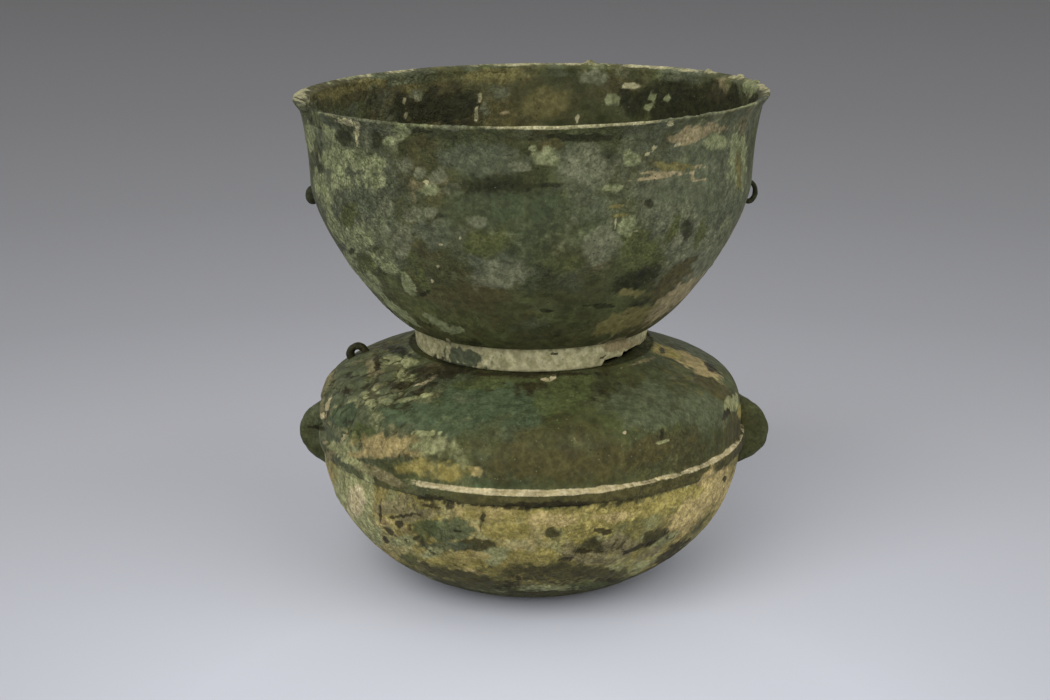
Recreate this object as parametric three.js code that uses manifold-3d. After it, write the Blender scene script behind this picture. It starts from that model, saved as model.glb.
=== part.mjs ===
// Bronze yan steamer: a bowl with a slotted floor (zeng) standing in the mouth of a round pot (fu).
// Millimetres, +Z up, origin at the centre of the pot's flat base, the two ear lugs on X.
import * as THREE from 'three';
import { mergeVertices } from 'three/addons/utils/BufferGeometryUtils.js';
import Module from 'manifold-3d';

const wasm = await Module();
wasm.setup();

// Both vessels
const SEGMENTS = 48;
const WALL = 3.0;

// Pot: belly, from the flat base up to the waist
const BASE_R = 55.9;
const BELLY_R = 132.6;
const BELLY_H = 86.8;
const BELLY_ROUND = 0.726;
const BASE_ROUND = 0.123;

// Pot: waist flange
const FLANGE_OUT = 2.9;
const FLANGE_H = 8.8;
const FLANGE_EDGE = 0.8;

// Pot: domed shoulder, and the seat in its mouth
const SHOULDER_H = 53.6;
const SHOULDER_FULL = 4.7;
const SHOULDER_ROUND = 0.81;
const MOUTH_SLOPE_OUT = 0.61;
const MOUTH_SLOPE_DOWN = 0.355;
const SEAT_DEPTH = 0.8;
const SEAT_CLEARANCE = 3.2;
const SEAT_LIP = 1.8;
const SEAT_WIDTH = 6.0;

// Pot: ear lugs, outlines as [out from the flange, up from its middle]
const LUG_T = 13.0;
const LUG_BEVEL = 2.5;
const LUG_ROOT = 11.0;
const LUG_LEFT = [[-6.5, 22.8], [7.5, 13.4], [13.5, 3.3], [14, -3.7], [7.9, -15.6], [-7.5, -25.7]];
const LUG_RIGHT = [[-3.5, 23.3], [4.5, 19.3], [12.5, 12.8], [16.7, 2.8], [16.7, -3.2], [12.9, -14.2], [-6.5, -24.7]];

// Pot: curled knob on the left of the shoulder
const KNOB_FROM_AXIS = 112.5;
const KNOB_R = 5.0;
const KNOB_WIRE = 2.4;
const KNOB_TURN = 172;

// Bowl: ring foot
const SEAT_GAP = 0.3;
const FOOT_R = 72.8;
const FOOT_FLARE = 1.7;
const FOOT_H = 14.7;
const FOOT_WALL = 2.8;
const EDGE = 0.5;

// Bowl: body, neck and lip
const BOWL_R = 135.8;
const BOWL_H = 91.8;
const BOWL_ROUND = 0.33;
const BOWL_BOTTOM_ROUND = 0.23;
const NECK_OUT = 5.0;
const NECK_H = 44.4;
const LIP_OUT = 4.2;
const LIP_H = 7.6;
const LIP_WIDTH = 7.6;
const LIP_SLOPE = 2.7;
const LIP_T = 2.6;
const RIM_LEAN = 2.1;

// Bowl: slots in the floor
const FLOOR_T = 3.4;
const FLOOR_DISH = 0.8;
const SLOT_W = 3.5;
const SLOT_MARGIN = 10.0;
const SLOT_BRIDGE = 6.0;
const OUTER_SLOTS = { count: 12, length: 30, turn: 15 };
const INNER_SLOTS = { count: 6, length: 16, turn: 0 };

// Bowl: broken ring holders, a loop on the right and a stub on the left
const HOLDER_UP = 80.2;
const LOOP_R = 5.2;
const LOOP_WIRE = 1.6;
const LOOP_OUT = 0.8;
const STUB = [4.2, 4.4, 5.6];
const STUB_OUT = 2.2;

// Bowl: breaks in the lip and in the ring foot
const LIP_BREAK = { turn: 206, width: 29 };
const FOOT_BREAKS = [{ turn: -46, rise: 3.2 }, { turn: -33, rise: 5.6 }, { turn: -20, rise: 5.0 }, { turn: -8, rise: 6.4 }];
const FOOT_BREAK_W = 19;

// Sizes that follow
const flangeR = BELLY_R + FLANGE_OUT;
const flangeTop = BELLY_H + FLANGE_H;
const shoulderZ = flangeTop + FLANGE_EDGE;
const mouthZ = shoulderZ + SHOULDER_H;
const seatZ = mouthZ - SEAT_DEPTH;
const seatR = FOOT_R + SEAT_CLEARANCE;
const mouthRimR = seatR + SEAT_LIP;
const mouthR = FOOT_R - FOOT_WALL - SEAT_WIDTH;
const footZ = seatZ + SEAT_GAP;
const footTopR = FOOT_R + FOOT_FLARE;
const footTopZ = footZ + FOOT_H;
const bowlZ = footTopZ + BOWL_H;
const neckR = BOWL_R + NECK_OUT;
const neckZ = bowlZ + NECK_H;
const rimR = neckR + LIP_OUT;
const rimZ = neckZ + LIP_H;
const floorZ = footTopZ + WALL;

const deg = THREE.MathUtils.degToRad;

function curve(a, b, c, d, steps) {
  const line = new THREE.CubicBezierCurve(
    new THREE.Vector2(...a),
    new THREE.Vector2(...b),
    new THREE.Vector2(...c),
    new THREE.Vector2(...d),
  );
  return line.getSpacedPoints(steps).map((p) => [p.x, p.y]);
}

// Moves an upward profile inward by a distance square to itself
function inward(points, distance) {
  return points.map((p, i) => {
    const before = points[Math.max(i - 1, 0)];
    const after = points[Math.min(i + 1, points.length - 1)];
    const dr = after[0] - before[0];
    const dz = after[1] - before[1];
    const length = Math.hypot(dr, dz);
    return [p[0] - (dz / length) * distance, p[1] + (dr / length) * distance];
  });
}

// Where a profile of [radius, height] crosses a value of one of them, gives the other
function crossing(points, known, value) {
  for (let i = 1; i < points.length; i += 1) {
    const [a, b] = [points[i - 1], points[i]];
    const share = (value - a[known]) / (b[known] - a[known]);
    if (share >= 0 && share <= 1) {
      return THREE.MathUtils.lerp(a[1 - known], b[1 - known], share);
    }
  }
  return points[points.length - 1][1 - known];
}

function solid(geometry) {
  const g = geometry.clone();
  g.deleteAttribute('normal');
  g.deleteAttribute('uv');
  const merged = mergeVertices(g, 1e-4);
  const index = merged.index.array;
  const triangles = [];
  for (let i = 0; i < index.length; i += 3) {
    const [a, b, c] = [index[i], index[i + 1], index[i + 2]];
    if (a !== b && b !== c && a !== c) {
      triangles.push(a, b, c);
    }
  }
  return new wasm.Manifold(new wasm.Mesh({
    numProp: 3,
    vertProperties: new Float32Array(merged.attributes.position.array),
    triVerts: new Uint32Array(triangles),
  }));
}

function toGeometry(manifold) {
  const mesh = manifold.getMesh();
  const g = new THREE.BufferGeometry();
  g.setAttribute('position', new THREE.BufferAttribute(new Float32Array(mesh.vertProperties), 3));
  g.setIndex(new THREE.BufferAttribute(new Uint32Array(mesh.triVerts), 1));
  g.computeVertexNormals();
  return g;
}

// A closed profile of [radius, height] turned round Z
function turned(profile) {
  const points = [...profile, profile[0]].map(([r, z]) => new THREE.Vector2(r, z));
  return solid(new THREE.LatheGeometry(points, SEGMENTS).rotateX(Math.PI / 2));
}

// The body inside a wall's middle, which trims what is joined to the wall's outside
function core(outside) {
  const middle = inward(outside, WALL / 2);
  return turned([[0, middle[0][1]], ...middle, [0, middle[middle.length - 1][1]]]);
}

function box(size, centre, turn) {
  return solid(new THREE.BoxGeometry(...size).translate(...centre).rotateZ(deg(turn)));
}

// Wire ring standing on edge, in the plane through the axis
function ring(radius, wire, squash, r, z, turn) {
  const g = new THREE.TorusGeometry(radius, wire, 8, 16).scale(squash, 1 / squash, 1);
  return solid(g.rotateX(Math.PI / 2).translate(r, 0, z).rotateZ(deg(turn)));
}

function bowlOutside() {
  const across = BOWL_R - footTopR;
  const body = curve(
    [footTopR, footTopZ],
    [footTopR + BOWL_BOTTOM_ROUND * across, footTopZ + 1],
    [BOWL_R - 1.7, bowlZ - BOWL_ROUND * BOWL_H],
    [BOWL_R, bowlZ],
    8,
  );
  const neck = [0.35, 0.65, 0.85, 1].map((t) => [BOWL_R + NECK_OUT * t * t, bowlZ + NECK_H * t]);
  return [...body, ...neck];
}

function bowlProfile(outside) {
  const inside = inward(outside, WALL).slice(1).reverse();
  const footInsideR = FOOT_R - FOOT_WALL;
  const underZ = floorZ - FLOOR_T;
  return [
    [FOOT_R - EDGE, footZ],
    [FOOT_R, footZ + EDGE],
    [footTopR - EDGE, footTopZ - 4 * EDGE],
    ...outside,
    [rimR - 2 * EDGE, rimZ - LIP_T],
    [rimR, rimZ - LIP_T / 2],
    [rimR - EDGE, rimZ],
    [rimR - LIP_WIDTH, rimZ - LIP_SLOPE],
    ...inside,
    [footInsideR, floorZ],
    [footInsideR / 2, floorZ - FLOOR_DISH / 2],
    [0, floorZ - FLOOR_DISH],
    [0, underZ - FLOOR_DISH],
    [footInsideR / 2, underZ - FLOOR_DISH / 2],
    [footInsideR - 4 * EDGE, underZ],
    [footInsideR, underZ - 4 * EDGE],
    [footInsideR, footZ + EDGE],
    [footInsideR + EDGE, footZ],
  ];
}

function slotRing({ count, length, turn }, end) {
  const slots = [];
  for (let i = 0; i < count; i += 1) {
    const height = 4 * FLOOR_T;
    slots.push(box([length, SLOT_W, height], [end - length / 2, 0, floorZ - FLOOR_T / 2], turn + (i * 360) / count));
  }
  return slots;
}

function slots() {
  const outerEnd = FOOT_R - FOOT_WALL - SLOT_MARGIN;
  const innerEnd = outerEnd - OUTER_SLOTS.length - SLOT_BRIDGE;
  return [...slotRing(OUTER_SLOTS, outerEnd), ...slotRing(INNER_SLOTS, innerEnd)];
}

// Where metal has broken away: the lip at the front left, the ring foot's edge at the front right
function breaks() {
  const deep = 4 * LIP_OUT;
  const lipBreak = box([deep, LIP_BREAK.width, deep], [neckR + deep / 2, 0, rimZ], LIP_BREAK.turn);
  const footBreaks = FOOT_BREAKS.map(({ turn, rise }) => (
    box([5 * FOOT_WALL, FOOT_BREAK_W, 2 * rise], [FOOT_R, 0, footZ], turn)
  ));
  return [lipBreak, ...footBreaks];
}

function holders(outside) {
  const z = footTopZ + HOLDER_UP;
  const wallR = crossing(outside, 1, z);
  const stub = new THREE.SphereGeometry(1, 10, 8).scale(...STUB).translate(-wallR - STUB_OUT, 0, z);
  return [ring(LOOP_R, LOOP_WIRE, 0.85, wallR + LOOP_OUT, z, 0), solid(stub)];
}

// The bowl has sunk a little to the left, so its rim is out of level
function leaned(manifold) {
  return manifold.warp((v) => {
    const share = THREE.MathUtils.clamp((v[2] - footTopZ) / (rimZ - footTopZ), 0, 1);
    v[2] += RIM_LEAN * (v[0] / rimR) * share;
  });
}

function zeng() {
  const outside = bowlOutside();
  const inside = core(outside);
  let body = turned(bowlProfile(outside));
  for (const holder of holders(outside)) {
    body = body.add(holder.subtract(inside));
  }
  for (const cut of [...slots(), ...breaks()]) {
    body = body.subtract(cut);
  }
  return leaned(body);
}

function potBelly() {
  const across = BELLY_R - BASE_R;
  return curve(
    [BASE_R, 0],
    [BASE_R + BASE_ROUND * across, 0],
    [BELLY_R - 1.8, BELLY_H - BELLY_ROUND * BELLY_H],
    [BELLY_R, BELLY_H],
    9,
  );
}

function potShoulder() {
  const across = BELLY_R - mouthRimR;
  return curve(
    [BELLY_R, shoulderZ],
    [BELLY_R + SHOULDER_FULL, shoulderZ + SHOULDER_ROUND * SHOULDER_H],
    [mouthRimR + MOUTH_SLOPE_OUT * across, mouthZ - MOUTH_SLOPE_DOWN * SHOULDER_H],
    [mouthRimR, mouthZ],
    9,
  );
}

function potProfile(belly, shoulder) {
  const bellyInside = inward(belly, WALL).slice(1, -1).reverse();
  const shoulderInside = inward(shoulder, WALL).slice(1).reverse();
  return [
    [0, 0],
    ...belly,
    [flangeR - EDGE, BELLY_H + 2 * EDGE],
    [flangeR, flangeTop - 2 * EDGE],
    [flangeR - EDGE, flangeTop],
    ...shoulder,
    [seatR + EDGE, mouthZ],
    [seatR, seatZ],
    [mouthR + EDGE, seatZ],
    [mouthR, seatZ - EDGE],
    [mouthR, seatZ - WALL + EDGE],
    [mouthR + EDGE, seatZ - WALL],
    ...shoulderInside,
    [BELLY_R - WALL, (shoulderZ + BELLY_H) / 2],
    ...bellyInside,
    [BASE_R, WALL],
    [0, WALL],
  ];
}

function lug(outline, turn) {
  const middle = BELLY_H + FLANGE_H / 2;
  const top = outline[0];
  const bottom = outline[outline.length - 1];
  const root = [[-LUG_ROOT, bottom[1] + LUG_ROOT / 2], [-LUG_ROOT, top[1] - LUG_ROOT / 2]];
  const shape = new THREE.Shape([...outline, ...root].map(([x, y]) => new THREE.Vector2(x, y)));
  const depth = LUG_T - 2 * LUG_BEVEL;
  const g = new THREE.ExtrudeGeometry(shape, {
    depth,
    steps: 1,
    bevelThickness: LUG_BEVEL,
    bevelSize: LUG_BEVEL,
    bevelOffset: -LUG_BEVEL,
    bevelSegments: 2,
  });
  g.translate(flangeR, middle, -depth / 2).rotateX(Math.PI / 2);
  return solid(g.rotateZ(deg(turn)));
}

function fu() {
  const belly = potBelly();
  const shoulder = potShoulder();
  const inside = core([...belly, ...shoulder]);
  const knobZ = crossing(shoulder, 0, KNOB_FROM_AXIS) + KNOB_WIRE / 2;
  const knob = ring(KNOB_R, KNOB_WIRE, 1, KNOB_FROM_AXIS, knobZ, KNOB_TURN);
  let body = turned(potProfile(belly, shoulder));
  for (const added of [lug(LUG_LEFT, 180), lug(LUG_RIGHT, 0), knob]) {
    body = body.add(added.subtract(inside));
  }
  return body;
}

function piece(name, manifold, color) {
  const material = new THREE.MeshStandardMaterial({ color, metalness: 0.35, roughness: 0.75 });
  const mesh = new THREE.Mesh(toGeometry(manifold), material);
  mesh.name = name;
  return mesh;
}

const steamer = new THREE.Group();
steamer.add(piece('zeng', zeng(), 0x4e563f));
steamer.add(piece('fu', fu(), 0x5a5f45));

export default steamer;
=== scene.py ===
"""Bronze yan steamer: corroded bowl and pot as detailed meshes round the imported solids."""

import math

import bpy
import numpy as np
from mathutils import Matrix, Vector


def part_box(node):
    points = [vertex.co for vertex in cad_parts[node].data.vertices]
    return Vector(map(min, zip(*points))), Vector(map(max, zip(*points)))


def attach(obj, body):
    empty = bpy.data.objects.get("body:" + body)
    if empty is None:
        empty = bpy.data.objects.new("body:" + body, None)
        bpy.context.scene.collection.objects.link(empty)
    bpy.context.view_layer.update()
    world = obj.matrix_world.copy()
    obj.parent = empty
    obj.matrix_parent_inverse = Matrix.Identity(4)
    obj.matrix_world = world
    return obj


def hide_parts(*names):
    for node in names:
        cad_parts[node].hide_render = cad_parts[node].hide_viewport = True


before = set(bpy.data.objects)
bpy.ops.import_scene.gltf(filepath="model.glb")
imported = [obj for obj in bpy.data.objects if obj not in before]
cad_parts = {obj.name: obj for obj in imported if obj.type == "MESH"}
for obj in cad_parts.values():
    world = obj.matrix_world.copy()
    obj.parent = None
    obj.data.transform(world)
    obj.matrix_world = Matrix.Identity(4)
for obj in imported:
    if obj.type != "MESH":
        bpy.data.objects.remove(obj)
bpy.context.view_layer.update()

# Sizes in millimetres, worked out from the frame where it gives them
MM = 0.001
BOWL_LOW, BOWL_HIGH = [np.array(corner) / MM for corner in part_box("zeng")]
POT_HIGH = np.array(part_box("fu")[1]) / MM

FOOT_Z = BOWL_LOW[2]
SEAT_Z = FOOT_Z - 0.3
MOUTH_Z = POT_HIGH[2]
RIM_LEAN = 2.1
RIM_Z = BOWL_HIGH[2] - RIM_LEAN
RIM_R = 145.0
WALL = 3.0

# Bowl
FOOT_R = 72.8
FOOT_TOP_R = 74.5
FOOT_TOP_Z = FOOT_Z + 14.7
FOOT_INSIDE_R = 70.0
BOWL_R = 135.8
BOWL_Z = FOOT_TOP_Z + 91.8
BOWL_BOTTOM_ROUND = 0.23
BOWL_SIDE_IN = 1.7
BOWL_SIDE_DOWN = 30.3
NECK_R = 140.8
NECK_Z = RIM_Z - 7.6
FLOOR_Z = FOOT_TOP_Z + WALL
FLOOR_T = 3.4
FLOOR_DISH = 0.8
FLOOR_EDGE_R = 63.0
BRIDGE_R = 27.0
MIDDLE_R = 5.0
SLOT_W = 3.5
# Slots: their number, the radii they run between, the turn of the first in degrees, the columns that
# half a slot takes, and the rings along it
OUTER_SLOTS = {"count": 12, "low": 30.0, "high": 60.0, "turn": 15.0, "columns": 2, "rings": 9}
INNER_SLOTS = {"count": 6, "low": 8.0, "high": 24.0, "turn": 0.0, "columns": 5, "rings": 7}
# Where the lip is broken off, in degrees round Z, and half the width of the break
LIP_BREAK = {"turn": 206.0, "half": 14.5}
# Breaks of the foot: degrees round Z and height
FOOT_BREAKS = ((-46, 3.2), (-33, 5.6), (-20, 5.0), (-8, 6.4))
FOOT_BREAK_W = 19.0
FOOT_BREAK_TOP = 9.0
HOLDER_UP = 80.2
LOOP_R = 5.2
LOOP_WIRE = 1.6
LOOP_OUT = 0.8
LOOP_NARROW = 0.85
LOOP_OPEN = 1.95
STUB = (4.2, 4.4, 5.6)
STUB_OUT = 2.2
STUB_END = 0.94

# Pot
BASE_R = 55.9
BASE_ROUND = 0.123
BELLY_R = 132.6
BELLY_H = 86.8
BELLY_SIDE_IN = 1.8
BELLY_SIDE_Z = 23.8
FLANGE_R = 135.5
FLANGE_TOP = 95.6
SHOULDER_Z = 96.4
SHOULDER_FULL = 4.7
SHOULDER_ROUND = 0.81
MOUTH_SLOPE_OUT = 0.61
MOUTH_SLOPE_DOWN = 0.355
MOUTH_RIM_R = 77.8
SEAT_R = 76.0
MOUTH_R = 64.0

# Ear lugs as points of (out from the flange, up from its middle), and the knob
LUG_T = 13.0
LUG_LEFT = ((-6.5, 22.8), (7.5, 13.4), (13.5, 3.3), (14.0, -3.7), (7.9, -15.6), (-7.5, -25.7))
LUG_RIGHT = (
    (-3.5, 23.3), (4.5, 19.3), (12.5, 12.8), (16.7, 2.8), (16.7, -3.2), (12.9, -14.2), (-6.5, -24.7),
)
KNOB_FROM_AXIS = 112.5
KNOB_R = 5.0
KNOB_WIRE = 2.4
KNOB_TURN = 172.0
KNOB_CURL = 0.42

# Columns round the axis
FINE = 576
MEDIUM = 288
COARSE = 96

# Camera that the photograph was measured to have, in a 1050 by 700 frame
PHOTO_W, PHOTO_H = 1050, 700
CAMERA_PLACE = (-3.98, -1153.0, 460.8)
CAMERA_PITCH = 0.2686
CAMERA_FOCAL_PX = 1884.3
CAMERA_CLIP = (0.05, 60.0)
SENSOR_MM = 36.0


# Noise


def hashed(ix, iy, iz, seed):
    """A number from 0 to 1 for each whole-number corner."""
    n = ix * 374761393 + iy * 668265263 + iz * 1440662683 + seed * 1274126177
    n = n & 0xFFFFFFFF
    n = ((n ^ (n >> 13)) * 1103515245) & 0xFFFFFFFF
    n = ((n ^ (n >> 16)) * 668265263) & 0xFFFFFFFF
    return ((n ^ (n >> 15)) & 0xFFFFFF) / float(0xFFFFFF)


def noise(points, size, seed):
    """Smooth noise from -1 to 1, with lumps about size millimetres wide."""
    p = points / size
    low = np.floor(p).astype(np.int64)
    f = p - low
    f = f * f * f * (f * (f * 6 - 15) + 10)
    total = np.zeros(len(points))
    for dx in (0, 1):
        for dy in (0, 1):
            for dz in (0, 1):
                weight = np.abs(1 - dx - f[:, 0]) * np.abs(1 - dy - f[:, 1]) * np.abs(1 - dz - f[:, 2])
                total += weight * hashed(low[:, 0] + dx, low[:, 1] + dy, low[:, 2] + dz, seed)
    return total * 2 - 1


def cloud(points, size, seed, octaves=4):
    """Layered noise, roughly -1 to 1."""
    total = np.zeros(len(points))
    height, scale = 1.0, size
    for octave in range(octaves):
        total += height * noise(points + 17.3 * octave, scale, seed + octave)
        height *= 0.5
        scale *= 0.5
    return total / 1.4


def cells(points, size, seed):
    """Plates about size millimetres wide: distance to the centre, to the edge, and a number for each."""
    p = points / size
    low = np.floor(p).astype(np.int64)
    nearest = np.full(len(points), 9.0)
    second = np.full(len(points), 9.0)
    name = np.zeros(len(points))
    for dx in (-1, 0, 1):
        for dy in (-1, 0, 1):
            for dz in (-1, 0, 1):
                c = low + (dx, dy, dz)
                centre = np.stack([c[:, k] + hashed(*c.T, seed + k) for k in range(3)], 1)
                away = np.linalg.norm(p - centre, axis=1)
                closer = away < nearest
                second = np.where(closer, nearest, np.minimum(second, away))
                name = np.where(closer, hashed(*c.T, seed + 9), name)
                nearest = np.where(closer, away, nearest)
    return nearest, second - nearest, name


def step(low, high, x):
    t = np.clip((x - low) / (high - low), 0.0, 1.0)
    return t * t * (3 - 2 * t)


# Profiles


def bezier(a, b, c, d, count=200):
    t = np.linspace(0, 1, count)[:, None]
    a, b, c, d = map(np.array, (a, b, c, d))
    return (1 - t) ** 3 * a + 3 * t * (1 - t) ** 2 * b + 3 * t * t * (1 - t) * c + t ** 3 * d


def inward(points, distance):
    tangent = np.gradient(points, axis=0)
    tangent /= np.linalg.norm(tangent, axis=1)[:, None]
    return points + distance * np.stack([-tangent[:, 1], tangent[:, 0]], 1)


def spaced(points, spacing):
    """The same line with points about spacing apart, both ends kept."""
    points = np.array(points, float)
    lengths = np.linalg.norm(np.diff(points, axis=0), axis=1)
    along = np.concatenate([[0], np.cumsum(lengths)])
    count = max(2, int(round(along[-1] / spacing)) + 1)
    at = np.linspace(0, along[-1], count)
    return np.stack([np.interp(at, along, points[:, 0]), np.interp(at, along, points[:, 1])], 1)


def rounded(points, rounds=2):
    """Cuts the corners of a line, both ends kept."""
    points = np.array(points, float)
    for _ in range(rounds):
        quarter = points[:-1] * 0.75 + points[1:] * 0.25
        three = points[:-1] * 0.25 + points[1:] * 0.75
        inner = np.stack([quarter, three], 1).reshape(-1, 2)
        points = np.concatenate([points[:1], inner[1:-1], points[-1:]])
    return points


def bowl_outside():
    across = BOWL_R - FOOT_TOP_R
    body = bezier(
        (FOOT_TOP_R, FOOT_TOP_Z),
        (FOOT_TOP_R + BOWL_BOTTOM_ROUND * across, FOOT_TOP_Z + 1),
        (BOWL_R - BOWL_SIDE_IN, BOWL_Z - BOWL_SIDE_DOWN),
        (BOWL_R, BOWL_Z),
    )
    t = np.linspace(0, 1, 40)[1:, None]
    neck = np.hstack([BOWL_R + (NECK_R - BOWL_R) * t ** 2, BOWL_Z + (NECK_Z - BOWL_Z) * t])
    return np.concatenate([body, neck])


def bowl_sections():
    """Profile of the bowl as (name, columns, points), from under the floor round the outside to the floor.

    The number given to spaced is the distance between two rings."""
    outside = bowl_outside()
    inside = inward(outside, WALL)[::-1]
    under = FLOOR_Z - FLOOR_T
    foot_inside = rounded([
        (FOOT_INSIDE_R - 6, under - 0.1),
        (FOOT_INSIDE_R - 1.5, under - 0.4),
        (FOOT_INSIDE_R, under - 2.5),
        (FOOT_INSIDE_R, FOOT_Z + 0.8),
        (FOOT_INSIDE_R + 0.4, FOOT_Z),
    ])
    foot = rounded([
        (FOOT_R - 0.9, FOOT_Z),
        (FOOT_R, FOOT_Z + 0.6),
        (FOOT_TOP_R - 0.6, FOOT_TOP_Z - 3.0),
        tuple(outside[0]),
        tuple(outside[2]),
    ])
    lip = rounded([
        tuple(outside[-1]),
        (RIM_R - 1.4, RIM_Z - 3.2),
        (RIM_R + 0.1, RIM_Z - 1.6),
        (RIM_R - 0.1, RIM_Z - 0.1),
        (RIM_R - 1.2, RIM_Z - 0.2),
        (RIM_R - 7.4, RIM_Z - 2.6),
        (inside[0][0] + 0.1, RIM_Z - 4.2),
        tuple(inside[2]),
    ])
    turn_in = inside[inside[:, 1] > FLOOR_Z + 1.2]
    floor_edge = rounded([tuple(turn_in[-1]), (FOOT_TOP_R - 1, FLOOR_Z + 0.2), (66.0, FLOOR_Z - 0.02)])
    floor = [(r, FLOOR_Z - FLOOR_DISH * (1 - r / FOOT_INSIDE_R)) for r in floor_radii()]
    below = [(r, z - FLOOR_T) for r, z in floor[::-1]]
    return [
        ("under_middle", COARSE, np.array([(MIDDLE_R, FLOOR_Z - FLOOR_T - FLOOR_DISH)])),
        ("under", MEDIUM, np.array(below)),
        ("foot_inside", MEDIUM, spaced(foot_inside, 1.6)),
        ("foot", FINE, spaced(foot, 1.2)),
        ("wall", FINE, spaced(outside[3:], 1.75)),
        ("lip", FINE, spaced(lip, 1.1)[1:-1]),
        ("inside", MEDIUM, spaced(turn_in[3:], 3.2)),
        ("floor_edge", MEDIUM, spaced(floor_edge, 2.4)[1:]),
        ("floor", MEDIUM, np.array(floor)),
        ("floor_middle", COARSE, np.array([(MIDDLE_R, FLOOR_Z - FLOOR_DISH)])),
    ]


def floor_radii():
    """Radii of the rings of the floor, with one at each end of the slots."""
    outer, inner = [np.linspace(s["high"], s["low"], s["rings"]) for s in (OUTER_SLOTS, INNER_SLOTS)]
    return [FLOOR_EDGE_R, *outer, BRIDGE_R, *inner]


def pot_belly():
    across = BELLY_R - BASE_R
    return bezier(
        (BASE_R, 0),
        (BASE_R + BASE_ROUND * across, 0),
        (BELLY_R - BELLY_SIDE_IN, BELLY_SIDE_Z),
        (BELLY_R, BELLY_H),
    )


def pot_shoulder():
    across = BELLY_R - MOUTH_RIM_R
    height = MOUTH_Z - SHOULDER_Z
    return bezier(
        (BELLY_R, SHOULDER_Z),
        (BELLY_R + SHOULDER_FULL, SHOULDER_Z + SHOULDER_ROUND * height),
        (MOUTH_RIM_R + MOUTH_SLOPE_OUT * across, MOUTH_Z - MOUTH_SLOPE_DOWN * height),
        (MOUTH_RIM_R, MOUTH_Z),
    )


def pot_sections():
    """Profile of the pot as (name, columns, points), from the base round the outside to the inside.

    The number given to spaced is the distance between two rings."""
    belly, shoulder = pot_belly(), pot_shoulder()
    flange = rounded([
        tuple(belly[-1]),
        (FLANGE_R - 1.0, BELLY_H + 0.6),
        (FLANGE_R - 0.1, BELLY_H + 2.0),
        (FLANGE_R + 0.1, FLANGE_TOP - 1.6),
        (FLANGE_R - 0.4, FLANGE_TOP),
        (FLANGE_R - 2.2, FLANGE_TOP + 0.3),
        tuple(shoulder[1]),
    ], 1)
    mouth = rounded([
        tuple(shoulder[-1]),
        (SEAT_R + 0.5, MOUTH_Z),
        (SEAT_R, SEAT_Z),
        (MOUTH_R + 0.8, SEAT_Z),
        (MOUTH_R, SEAT_Z - 0.8),
        (MOUTH_R, SEAT_Z - WALL + 0.8),
        (MOUTH_R + 0.8, SEAT_Z - WALL),
    ], 1)
    shoulder_in = inward(shoulder, WALL)[::-1]
    belly_in = inward(belly, WALL)[::-1]
    inside = np.concatenate([shoulder_in[shoulder_in[:, 1] < SEAT_Z - WALL - 0.5], belly_in])
    base = np.stack([np.linspace(30, BASE_R, 10), np.zeros(10)], 1)
    return [
        ("base_middle", COARSE, np.array([(8.0, 0.0), (20.0, 0.0)])),
        ("base", MEDIUM, base),
        ("belly", FINE, spaced(belly[1:], 1.75)),
        ("flange", FINE, spaced(flange, 1.1)[1:-1]),
        ("shoulder", FINE, spaced(shoulder[3:], 1.6)),
        ("mouth", FINE, spaced(mouth, 1.0)[1:]),
        ("inside", MEDIUM, spaced(inside, 5.0)),
        ("inside_base", COARSE, np.array([(r, WALL) for r in (40.0, 24.0, 8.0)])),
    ]


# Turned meshes


class Turned:
    """A profile turned round Z as a closed mesh: places, outward directions, and each point's section."""

    def __init__(self, sections):
        self.names = [name for name, _, _ in sections]
        rings = [(i, columns, p) for i, (_, columns, points) in enumerate(sections) for p in points]
        profile = np.array([p for _, _, p in rings])
        profile = np.concatenate([[(0.0, profile[0][1])], profile, [(0.0, profile[-1][1])]])
        columns = [1] + [c for _, c, _ in rings] + [1]
        part = [rings[0][0]] + [i for i, _, _ in rings] + [rings[-1][0]]
        tangent = np.gradient(profile, axis=0)
        tangent /= np.linalg.norm(tangent, axis=1)[:, None]
        blocks = []
        self.starts, self.columns = [], columns
        start = 0
        for i, n in enumerate(columns):
            angle = 2 * np.pi * np.arange(n) / n
            r, z = profile[i]
            out, up = tangent[i, 1], -tangent[i, 0]
            same = [np.full(n, value) for value in (r, z, out, up, part[i])]
            blocks.append(np.stack([angle, *same], 1))
            self.starts.append(start)
            start += n
        data = np.concatenate(blocks)
        self.angle, self.r, self.z, self.nr, self.nz, self.part = data.T
        self.part = self.part.astype(int)
        self.ring = np.repeat(np.arange(len(columns)), columns)

    def is_in(self, *names):
        return np.isin(self.part, [self.names.index(name) for name in names])

    def places(self):
        return np.stack([self.r * np.cos(self.angle), self.r * np.sin(self.angle), self.z], 1)

    def directions(self):
        return np.stack([self.nr * np.cos(self.angle), self.nr * np.sin(self.angle), self.nz], 1)

    def faces(self, skipped=()):
        """Every face between neighbouring rings, but for the skipped (ring, column) ones."""
        result = []
        for i in range(len(self.columns) - 1):
            a, b = self.columns[i], self.columns[i + 1]
            low, high = self.starts[i], self.starts[i + 1]
            if a == b:
                keep = np.array([j for j in range(a) if (i, j) not in skipped])
                after = (keep + 1) % a
                result += np.stack([low + keep, low + after, high + after, high + keep], 1).tolist()
            elif a == 1:
                result += [[low, high + (j + 1) % b, high + j] for j in range(b)]
            elif b == 1:
                result += [[low + j, low + (j + 1) % a, high] for j in range(a)]
            else:
                result += self.change(low, a, high, b)
        return result

    @staticmethod
    def change(low, a, high, b):
        """Faces where one ring has twice or three times the columns of the next."""
        few, many = min(a, b), max(a, b)
        share = many // few
        faces = []
        for j in range(few):
            fan = [(j * share + s) % many for s in range(share + 1)]
            after = (j + 1) % few
            if a < b:
                faces.append([low + j, low + after] + [high + f for f in fan[::-1]])
            else:
                faces.append([low + f for f in fan] + [high + after, high + j])
        return faces


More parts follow.
